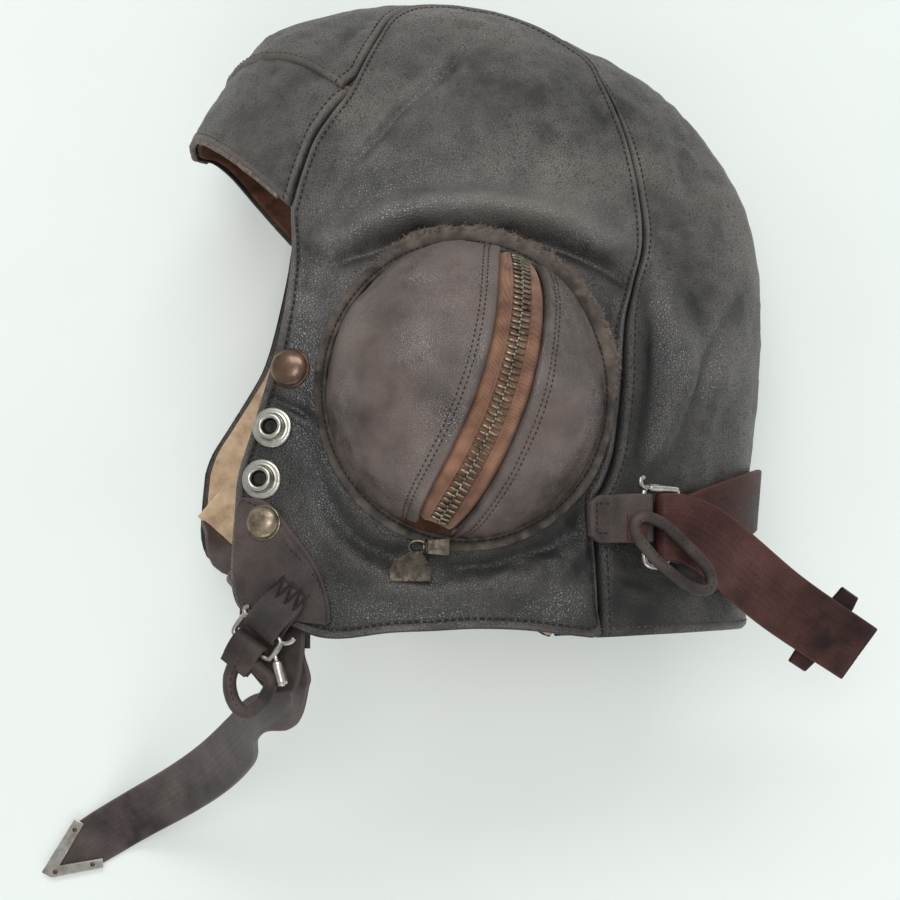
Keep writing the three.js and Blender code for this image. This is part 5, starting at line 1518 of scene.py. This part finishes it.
for name, off, up_share, wide, kind in STUDS:
    spot = Spot(1, flap_u(off), up_share * CROWN_RISE)
    base = GAP * 0.3 + (PATCH_THICK + GAP if name == "cap_lower" else 0)
    r = wide / 2
    put_at = lambda x, y, h, spot=spot, base=base: spot.flat(x, y, base + h)
    if kind == "cap":
        enamel = worn_enamel if "lower" in name else cap_enamel
        turned(name, put_at, section(CAP_SHAPE, r, 4), enamel, [f"left_{name}"])
        g = np.linspace(0, 2 * math.pi, 40, endpoint=False)
        rim = spot.flat(np.cos(g) * r, np.sin(g) * r, base + 0.15)
        tube(name + "_rim", rim, 0.5, 8, True, enamel)
    else:
        turned(name, put_at, section(STUD_SHAPE, r, 4), nickel, [f"left_{name}"], 48)
        # dark plug in the stud's socket: painted shade of the hole
        turned(name + "_core", put_at, section(CORE_SHAPE, r, 3), socket_shade, (), 32)


# zip slider and pull on the ring
for side_name in ("left", "right"):
    from_node(f"{side_name}_zip_slider", f"{side_name}_slider", dark_metal, 0.5, 4)
    from_node(f"{side_name}_zip_pull", f"{side_name}_pull", dark_metal, 0.22, 3)

# chin fittings on the low front corner of the left flap
CHIN_SPOT = Spot(1, flap_u(0.709), -0.42 * CROWN_RISE)
CHIN_X, CHIN_Y = 6.2, -13.2
WRAP = WIRE + GAP + TAB_THICK / 2
PATCH_TOP = GAP + PATCH_THICK
CHIN_PLANE = PATCH_TOP + GAP + TAB_THICK + GAP + WIRE
BAR_LEAN = math.radians(-36)
BUCKLE_HALF, BUCKLE_DROP = TAB_WIDE / 2 - 0.2, 7.9


def chin(x, y, h):
    return CHIN_SPOT.flat(np.asarray(x, float) + CHIN_X, np.asarray(y, float) + CHIN_Y, h)


def tilted(x, y):
    c, s = math.cos(BAR_LEAN), math.sin(BAR_LEAN)
    return x * c - y * s, x * s + y * c


def folded_tab(name, put_at, long, wide, low, plane, nodes):
    """leather tab folded round a bar"""
    back = low + GAP + TAB_THICK / 2
    front = back + TAB_THICK + GAP
    path = [(long, back), (long * 0.66, back), (long * 0.33, mix(back, plane - WRAP, 0.6)), (2, plane - WRAP)]
    for n in range(7):
        g = -math.pi / 2 - n * math.pi / 6
        path.append((WRAP * math.cos(g), plane + WRAP * math.sin(g)))
    path += [(long * 0.33, mix(plane + WRAP, front, 0.45)), (long * 0.6, front + 0.1), (long, front)]
    line = centripetal(path, 8)
    tangent = unit(np.gradient(line, axis=0))
    normal = np.stack([tangent[:, 1], -tangent[:, 0]], axis=1)
    x = eased(29)
    narrow = 1 - 0.3 * ramp((line[:, 0] - long * 0.72) / (long * 0.28)) ** 1.5
    across = x[None, :] * (wide / 2) * narrow[:, None]
    rim = (wide / 2) * narrow[:, None] - np.abs(across)
    rim = np.minimum(rim, np.minimum(np.arange(len(line)), np.arange(len(line))[::-1])[:, None] * 0.7)
    rounded = rolled(rim, 0.8)
    faces = []
    for k in (1, -1):
        soft = noise(stack(across, line[:, :1], line[:, 1:]), 4.0, 7) * 0.12
        off = k * TAB_THICK / 2 * (1 - rounded * 0.9) + soft
        faces.append(put_at(across, line[:, :1] + normal[:, :1] * off, line[:, 1:] + normal[:, 1:] * off))
    obj = shell(name, faces[0], faces[1], tab_leather)
    shade = 0.5 + 0.3 * hump(rim, 0.9) + noise(faces[0], 5.0, 8) * 0.15
    tone_both(obj, shade)
    merge_close(obj, 1e-7)
    finish_piece(obj, nodes)
    return front + TAB_THICK / 2


def chin_tab_place(x, y, h):
    a, b = tilted(x, y)
    share = ramp((y - 5) / 5)[..., None]
    return mix(chin(a, b, h), CHIN_SPOT.at(a + CHIN_X, b + CHIN_Y, h), share)


folded_tab("chin_tab_leather", chin_tab_place, 17.0, TAB_WIDE - 3.4, PATCH_TOP, CHIN_PLANE, ["chin_tab"])


def zigzag(put_at, front, long, half, count):
    """zigzag of heavy thread across the sewn end of a tab"""
    ys = np.array([6.4 if n % 2 else -1.6 for n in range(count)]) + long * 0.72
    xs = np.linspace(-half, half, count)
    points = put_at(xs, ys, front + 0.15 + 0 * xs)
    lifted = put_at(xs, ys, front + 1.15 + 0 * xs)
    up = unit(lifted - points)
    mid, along = (points[1:] + points[:-1]) / 2, points[1:] - points[:-1]
    length = np.linalg.norm(along, axis=1)
    ups = unit(up[1:] + up[:-1])
    across = unit(np.cross(ups, along))
    sizes = np.stack([length / 2 + 0.2, 0 * length + 0.5, 0 * length + 0.5], axis=1)
    return mid, unit(along), across, ups, sizes


zig = zigzag(chin_tab_place, PATCH_TOP + GAP + TAB_THICK * 2 + GAP, 17.0, 6.6, 8)
grains("chin_zigzag", *zig, thread, "shell_leather", 0.8, 5, 8)


def chin_wire(points):
    return np.array([chin(*tilted(x, y), CHIN_PLANE) for x, y in points])


B, D = BUCKLE_HALF, BUCKLE_DROP
chin_corners = [
    (-B, -0.9), (-B + 1, 0), (B - 1, 0), (B, -0.9),
    (B, -D + 0.9), (B - 1, -D), (-B + 1, -D), (-B, -D + 0.9),
]
chin_frame = centripetal(chin_wire(chin_corners), 8, True)
tube("chin_buckle_frame", chin_frame, WIRE * 0.85, 12, True, nickel, ["chin_buckle"])
hook_left = centripetal(chin_wire([(-B + 0.6, -0.5), (-B - 0.9, 0.6), (-B - 1.0, 2.0), (-B - 0.2, 2.7)]), 6)
hook_right = centripetal(chin_wire([(B - 0.6, -0.5), (B + 1.6, 0.4), (B + 2.8, 2.0), (B + 3.0, 3.6)]), 6)
tube("chin_hook_left", hook_left, WIRE * 0.75, 10, False, nickel)
tube("chin_hook_right", hook_right, WIRE * 0.75, 10, False, nickel)
roller_top = tilted(B, -4.5)
roller_end = (roller_top[0] + 3.4, roller_top[1] - 11.5)
roller_way = [np.array(roller_top) * (1 - t) + np.array(roller_end) * t for t in np.linspace(0, 1, 6)]
post = np.array([chin(*at, CHIN_PLANE) for at in roller_way])
tube("chin_post", post, 0.85, 10, False, nickel)
sleeve = np.array([mix(post[0], post[-1], t) for t in np.linspace(0.27, 0.97, 16)])
bulge = 1.75 + 0.25 * np.sin(np.linspace(0, math.pi, 16)) ** 0.4
bulge = bulge - 0.2 * (np.abs(np.linspace(-1, 1, 16)) > 0.95)
tube("chin_sleeve", sleeve, bulge, 16, False, nickel, ["chin_roller"])

# strip folded round the buckle's low bar, and the rolled pull loop
STRIP_WIDE = 12.4


def build_strip():
    path = [(-9.5, -0.95), (-5.7, -1.5), (-2, -WRAP)]
    for n in range(7):
        g = -math.pi / 2 + n * math.pi / 6
        path.append((WRAP * math.cos(g), WRAP * math.sin(g)))
    path += [(-2, WRAP), (-5.7, 1.5), (-9.5, 0.95)]
    line = centripetal(path, 6)
    tangent = unit(np.gradient(line, axis=0))
    x = eased(21)
    across = x[None, :] * (STRIP_WIDE / 2) * (1 - 0.12 * ramp((-4 - line[:, 0]) / 5))[:, None]
    rounded = rolled((STRIP_WIDE / 2 - np.abs(across)), 0.8)
    faces = []
    for k in (1, -1):
        off = k * TAB_THICK / 2 * (1 - rounded * 0.9)
        y = line[:, :1] + tangent[:, 1:] * off - D
        h = line[:, 1:] - tangent[:, :1] * off
        a, b = tilted(across - 0.6, y)
        faces.append(chin(a, b, CHIN_PLANE + h))
    obj = shell("chin_strip", faces[0], faces[1], tab_leather)
    shade = 0.5 + 0.3 * rounded
    tone_both(obj, shade)
    finish_piece(obj, ["chin_pull_loop"])


build_strip()
LOOP_WAY = [(-8, -10.2), (-12.2, -17), (-10.8, -25.1), (-6.2, -29), (-0.4, -25.5), (3, -18.2), (-0.2, -15.2)]


def rolled_loop(name, line, thick, nodes):
    """leather rolled round a cord"""
    sides = 20
    rings = tube_points(line, thick / 2, sides, True)
    centre = line[:, None]
    wobble = 1 + 0.05 * noise(rings, 3.5, 44) + 0.03 * noise(rings, 1.2, 45)
    rings = centre + (rings - centre) * wobble[..., None]
    obj = make_mesh(name, rings.reshape(-1, 3), ring_faces(len(line), sides, True).tolist(), tab_leather)
    set_tone(obj, 0.45 + 0.25 * noise(rings, 4.0, 46))
    merge_close(obj)
    finish_piece(obj, nodes)


chin_loop = centripetal(np.array([chin(x, y, CHIN_PLANE) for x, y in LOOP_WAY]), 14, True)
rolled_loop("chin_rolled_loop", chin_loop, LOOP_THICK, [])
high = chin_loop + vec(0, 0, 1) * LOOP_THICK * 0.5 * 0.97
middle = high.mean(axis=0)
inward = unit(middle - high) * LOOP_THICK * 0.2
fitting_stitches.add(high + inward * 0.6, np.tile(vec(0, 0, 1), (len(high), 1)), 2.2, 1.4, 0.45, 0.0, 0.1)

# tongue behind the buckle
UNDER = -(LEATHER + GAP + LINING + GAP + 0.1)
# rows of the tongue: height, left edge and right edge
BACKING = [
    (11, -13.4, 11), (5, -13.4, 11.6), (-3, -13.2, 11.6), (-10, -12.6, 11),
    (-17, -7, 10), (-21, -3, 8.4), (-22.6, 0.4, 6),
]


def build_backing():
    rows = centripetal(BACKING, 8)
    x = eased(31)
    across = mix(rows[:, 1:2], rows[:, 2:3], (x[None, :] + 1) / 2)
    y = rows[:, :1] + 0 * across
    half = (rows[:, 2:3] - rows[:, 1:2]) / 2
    rim = np.minimum(half * (1 - np.abs(x))[None, :], (y + 22.6) + 0.2)
    rounded = BACKING_THICK / 2 * rolled(rim, 0.9)
    soft = noise(stack(across, y, 0.0), 6.0, 48) * 0.2
    share = ramp((y - 1) / 4)[..., None]
    faces = []
    for h in (UNDER - rounded + soft, UNDER - BACKING_THICK + rounded + soft):
        faces.append(mix(chin(across, y, h), CHIN_SPOT.at(across + CHIN_X, y + CHIN_Y, h), share))
    obj = shell("chin_tongue", faces[0], faces[1], tab_leather)
    # darker all over, lighter at the rim, and lighter where the tongue stands higher and darker where it
    # sinks, as painted shade
    shade = 0.4 + 0.4 * hump(rim, 1.0) + soft
    tone_both(obj, shade)
    merge_close(obj, 1e-7)
    finish_piece(obj, ["chin_backing"])


build_backing()

# chin strap, from the right flap to the left one and down to its tip on the table
KEEPER_THICK, KEEPER_MID = 0.8, -0.95
STRAP_DEEP = UNDER - BACKING_THICK - GAP - KEEPER_THICK - GAP - STRAP_THICK / 2
ON_FLAP = UNDER - 1.5 - STRAP_THICK / 2


def route(along, up, high_share):
    return vec(along * HALF_LENGTH, up * CROWN_RISE, high_share * LIFT)


def table_route(along, up):
    return vec(along * HALF_LENGTH, up * CROWN_RISE, STRAP_THICK / 2 + 0.05)


STRAP_END = table_route(-1.589, -1.175)


def chin_stations():
    rows = ((0.145, -0.3), (0.427, -0.35), (0.689, -0.4))
    spots = [Spot(-1, flap_u(off), up * CROWN_RISE) for off, up in rows]
    way = unit(spots[2].origin - spots[0].origin)
    side = unit(np.cross(spots[2].n, way))
    ex, ey, n = CHIN_SPOT.ex, CHIN_SPOT.ey, CHIN_SPOT.n
    wide = CHIN_STRAP_WIDE
    flat_side = vec(0.565, -0.826, 0)
    return [
        *((spot.at(0, 0, ON_FLAP), side, wide) for spot in spots),
        (route(-0.768, -0.331, 0.806), vec(0.3, -0.93, 0.2), wide - 5),
        (route(-0.725, -0.361, 1.250), vec(0.3, -0.95, 0), wide - 5),
        (route(-0.684, -0.386, 1.667), vec(0.6, -0.75, -0.3), wide - 2),
        (chin(KEEPER_MID - 1.5, 10, STRAP_DEEP - 6.5), ex - ey * 0.15, wide),
        (chin(KEEPER_MID, 1.5, STRAP_DEEP - 0.3), ex, wide),
        (chin(KEEPER_MID, -4, STRAP_DEEP), ex, wide),
        (chin(KEEPER_MID + 0.2, -9.5, STRAP_DEEP - 0.4), ex, wide),
        (chin(KEEPER_MID + 2.5, -17, STRAP_DEEP - 6.8), ex + n * 0.6, wide),
        (chin(KEEPER_MID + 2.5, -26, STRAP_DEEP - 12.5), ex + n * 2.2, wide),
        (route(-0.658, -0.668, 1.569), vec(0.38, -0.2, 0.9), wide),
        (route(-0.730, -0.731, 1.319), vec(0.55, -0.45, 0.71), wide),
        (route(-0.857, -0.823, 0.917), vec(0.6, -0.68, 0.41), wide),
        (route(-1.022, -0.916, 0.500), vec(0.58, -0.78, 0.2), wide),
        (route(-1.214, -1.006, 0.160), vec(0.57, -0.82, 0.06), wide),
        (route(-1.321, -1.054, 0.036), vec(0.565, -0.826, 0), wide),
        (table_route(-1.42, -1.096), flat_side, wide - 0.6),
        (STRAP_END, flat_side, 2.6),
    ]


def build_flap_facing():
    """chamois sewn over the end of the chin strap, inside the far flap"""
    rows = ((-0.1, -0.27), (0.145, -0.3), (0.427, -0.35), (0.72, -0.405))
    spots = [Spot(-1, flap_u(off), up * CROWN_RISE) for off, up in rows]
    side = unit(np.cross(spots[2].n, unit(spots[3].origin - spots[1].origin)))
    stations = [(spot.at(0, 0, ON_FLAP - 1.9), side, CHIN_STRAP_WIDE + 5) for spot in spots]
    band("flap_facing", stations, 1.0, 20, chamois, ())


build_flap_facing()
band("chin_strap_leather", chin_stations(), STRAP_THICK - 0.1, 16, chin_leather,
     ["chin_strap"], 0.09, 1.15, flesh_side)


# V-shaped metal tip with its three round marks
def build_tip():
    from_node("chin_strap_tip", "chin_tip", nickel, 0.3, 3)
    at = np.array([STRAP_END + vec(x, y, 0) for x, y in ((19.5, 3.4), (11.6, 18.6), (3.0, 0.2))])
    at[:, 2] = STRAP_THICK + GAP + TIP_THICK
    ways = [np.tile(way, (len(at), 1)) for way in np.eye(3)]
    grains("tip_marks", at, *ways, [1.1, 1.1, 0.28], dark_metal, "nickel", 1.0, 6, 14)


build_tip()

# nape fittings
NAPE_U, NAPE_V, NAPE_MID = 0.604 * HALF_LENGTH, -0.254 * CROWN_RISE, -6.5
NAPE_PLANE, NAPE_LEFT, NAPE_RIGHT = 6.9, -9.3, -0.4
NAPE_HALF = NAPE_STRAP_WIDE / 2 + GAP + WIRE + 0.2
nape_origin = skin_at(1, NAPE_U, NAPE_V + NAPE_MID, LEATHER)
nape_n = unit(nape_origin - skin_at(1, NAPE_U, NAPE_V + NAPE_MID, 0.0))
nape_ex = unit(vec(1, 0, 0) - nape_n * nape_n[0])
nape_ey = np.cross(nape_n, nape_ex)


def nape(x, y, h):
    x, y, h = (np.asarray(k, float)[..., None] for k in (x, y, h))
    return nape_origin + nape_ex * x + nape_ey * (y - NAPE_MID) + nape_n * h


def nape_tab_place(x, y, h):
    share = ramp((y - 4) / 8)[..., None]
    x, y, h = np.broadcast_arrays(x, y, h)
    soft = skin_at(1, NAPE_U + (NAPE_LEFT - y) * 0.88, NAPE_V + x - 3.8, LEATHER + h)
    return mix(nape(NAPE_LEFT - y, x - 3.8, h), soft, share)


folded_tab("nape_tab_leather", nape_tab_place, 20.0, 17.0, 0.5, NAPE_PLANE, ["nape_tab"])


def tab_rectangle():
    front = 0.5 + GAP * 2 + TAB_THICK * 2 + 0.1
    corners = [(-5.2, 8), (-5.2, 17.2), (5.2, 17.2), (5.2, 8), (-5.2, 8)]
    share = np.linspace(0, 1, 12, endpoint=False)[:, None]
    line = np.vstack([mix(np.array(a), np.array(b), share) for a, b in zip(corners[:-1], corners[1:])])
    at = nape_tab_place(line[:, 0], line[:, 1], front + 0 * line[:, 0])
    up = unit(nape_tab_place(line[:, 0], line[:, 1], front + 1 + 0 * line[:, 0]) - at)
    fitting_stitches.add(at, up, 2.2, 1.5, 0.55)


tab_rectangle()
L, R, H, M = NAPE_LEFT, NAPE_RIGHT, NAPE_HALF, NAPE_MID
nape_ring = [
    (L, M + H - 1.5), (L + 1.5, M + H), (R - 1.5, M + H), (R, M + H - 1.5), (R, M),
    (R, M - H + 1.5), (R - 1.5, M - H), (L + 1.5, M - H), (L, M - H + 1.5), (L, M),
]
nape_frame = centripetal(np.array([nape(x, y, NAPE_PLANE) for x, y in nape_ring]), 7, True)
tube("nape_buckle_frame", nape_frame, WIRE * 0.95, 12, True, nickel, ["nape_buckle"])
prong = [
    (R - 1.2, M + H - 0.2, 0.4), (R + 2, M + H, 1.0),
    (R + 4.6, M + H - 0.6, 0.6), (R + 5.2, M + H - 3.4, 0.2),
]
hook = [
    (L + 1.0, M + H - 1.0, 0.3), (L - 1.8, M + H + 0.6, 1.2),
    (L - 2.2, M + H + 2.6, 1.4), (L - 0.6, M + H + 3.4, 1.0),
]
for name, way, thick in (("nape_prong", prong, 0.8), ("nape_hook", hook, 0.75)):
    line = centripetal([nape(x, y, NAPE_PLANE + h) for x, y, h in way], 6)
    tube(name, line, WIRE * thick, 10, False, nickel)
rod = np.array([nape(x, M + H - 0.4, NAPE_PLANE + 0.9) for x in np.linspace(L + 1.5, R + 4.5, 14)])
tube("nape_rod", rod, 1.35 + 0.12 * np.sin(np.linspace(0, math.pi, 14)), 14, False, nickel)
NAPE_LOOP = [
    (-13.5, -4, 12.9), (-6, -6, 13.2), (4, -14, 14.4), (11.5, -22, 15.6), (12, -27.5, 15.8),
    (7.5, -29, 15.6), (-2, -24.5, 14.4), (-11, -17, 13.2), (-16.5, -10.5, 12.8), (-17, -6, 12.8),
]
nape_loop = centripetal(np.array([nape(x, y, h) for x, y, h in NAPE_LOOP]), 12, True)
rolled_loop("nape_rolled_loop", nape_loop, NAPE_LOOP_THICK, ["nape_pull_loop"])
high = nape_loop + nape_n * NAPE_LOOP_THICK * 0.5 * 0.96
inward = unit(high.mean(axis=0) - high) * NAPE_LOOP_THICK * 0.12
fitting_stitches.add(high + inward, np.tile(nape_n, (len(high), 1)), 2.1, 1.4, 0.45, 0.0, 0.1)


def build_pad():
    x = np.linspace(-19, -11, 20)[:, None]
    y = np.linspace(-12.5, -3.5, 22)[None, :]
    rim = np.minimum(np.minimum(x + 19, -11 - x), np.minimum(y + 12.5, -3.5 - y))
    base = NAPE_PLANE + WRAP + TAB_THICK / 2 - GAP
    rounded = TAB_THICK * 0.5 * rolled(rim, 1.0)
    x, y = x + 0 * rim, y + 0 * rim
    top, low = nape(x, y, base + TAB_THICK + 0.4 - rounded), nape(x, y, base + rounded)
    obj = shell("nape_pad", top, low, strap_leather)
    set_tone(obj, np.full(2 * rim.size, 0.5))
    finish_piece(obj)


build_pad()

# strap round the nape, folded back over the buckle
STRAP_WRAP, NAPE_START, NAPE_GAP = WIRE + GAP + STRAP_THICK / 2, 9.0, 3.4


def nape_stations():
    start = float(turn_of(NAPE_U + NAPE_START, NAPE_V + NAPE_MID))
    low, mid_up, count = NAPE_V + NAPE_MID, -0.183 * CROWN_RISE, 10
    rows = []
    for n in range(count + 1):
        b = mix(math.pi - start, start, n / count)
        x = math.cos(b) / math.cos(start)
        a = angle_at(b, mix(mid_up, low, x * x))
        at = skin(a, b, LEATHER + NAPE_GAP)
        ahead = skin(angle_at(b - 0.01, mix(mid_up, low, x * x)), b - 0.01, LEATHER + NAPE_GAP)
        up = unit(at - skin(a, b, 0.0))
        rows.append((at, unit(np.cross(ahead - at, up)), NAPE_STRAP_WIDE))
    lap = lambda x, h, y=NAPE_MID: (nape(x, y, h), nape_ey, NAPE_STRAP_WIDE)
    rows.append(lap(3, NAPE_PLANE - STRAP_WRAP))
    for n in range(5):
        g = -math.pi / 2 - n * math.pi / 4
        rows.append(lap(NAPE_RIGHT + STRAP_WRAP * math.cos(g), NAPE_PLANE + STRAP_WRAP * math.sin(g)))
    rows.append(lap(4, NAPE_PLANE + STRAP_WRAP + 0.1))
    free_side = vec(0.52, 0.85, 0.1)
    free_from, free_end = route(1.089, -0.392, 1.625), route(1.398, -0.527, 1.292)
    lifted = nape(14, NAPE_MID - 3.6, NAPE_PLANE + STRAP_WRAP + 1.2)
    rows.append((lifted, mix(nape_ey, free_side, 0.4), NAPE_STRAP_WIDE))
    rows += [(free_from, free_side, NAPE_STRAP_WIDE), (free_end, free_side, NAPE_STRAP_WIDE)]
    return rows, free_from, free_end, free_side


nape_rows, free_from, free_end, free_side = nape_stations()
band("nape_strap_leather", nape_rows, STRAP_THICK, 14, strap_leather, ["nape_strap"],
     0.07, 1.3, edge_leather)

# dark stop under the free end, rolled at its ends
end_way = unit(free_end - free_from)
end_side = unit(free_side - end_way * free_side.dot(end_way))
end_up = np.cross(end_side, end_way)
end_up = end_up if end_up[2] > 0 else -end_up
stop_mid = free_end - end_way * 19 - end_up * (STRAP_THICK + GAP + 0.5)


def build_stop():
    x = np.linspace(-0.5, 0.5, 26)[:, None] * 12.0
    y = np.linspace(-0.5, 0.5, 60)[None, :] * 35.0
    rim = np.minimum(6.0 - np.abs(x), 17.5 - np.abs(y))
    rounded = STRAP_THICK / 2 * rolled(rim, 0.9)
    curl = 1.6 * ramp((np.abs(y) - 11) / 6.5) ** 1.5 + 0 * x
    x = x * (1 - 0.18 * ramp((np.abs(y) - 10) / 8)) + 0 * y
    y = y + 0 * x
    base = stop_mid + end_way * x[..., None] + end_side * y[..., None]
    top = base + end_up * (STRAP_THICK / 2 - rounded - curl * 0.2)[..., None]
    low = base + end_up * (-STRAP_THICK / 2 + rounded - curl * 0.2)[..., None]
    obj = shell("nape_stop", top, low, strap_leather)
    set_tone(obj, np.full(2 * rim.size, 0.3))
    finish_piece(obj, ["nape_strap_stop"])


build_stop()
fitting_stitches.build("fitting_stitches", thread, "shell_leather")

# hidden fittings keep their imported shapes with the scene's materials
HIDDEN = [
    ("chin_keeper", strap_leather), ("right_nape_tab", shell_leather), ("right_flap_patch", shell_leather),
    ("right_cap_upper", cap_enamel), ("right_cap_lower", cap_enamel),
    ("right_stud_upper", nickel), ("right_stud_lower", nickel),
]
for node, material in HIDDEN:
    mesh = bpy.data.objects[node].data
    if mesh.materials:
        mesh.materials[0] = material
    else:
        mesh.materials.append(material)
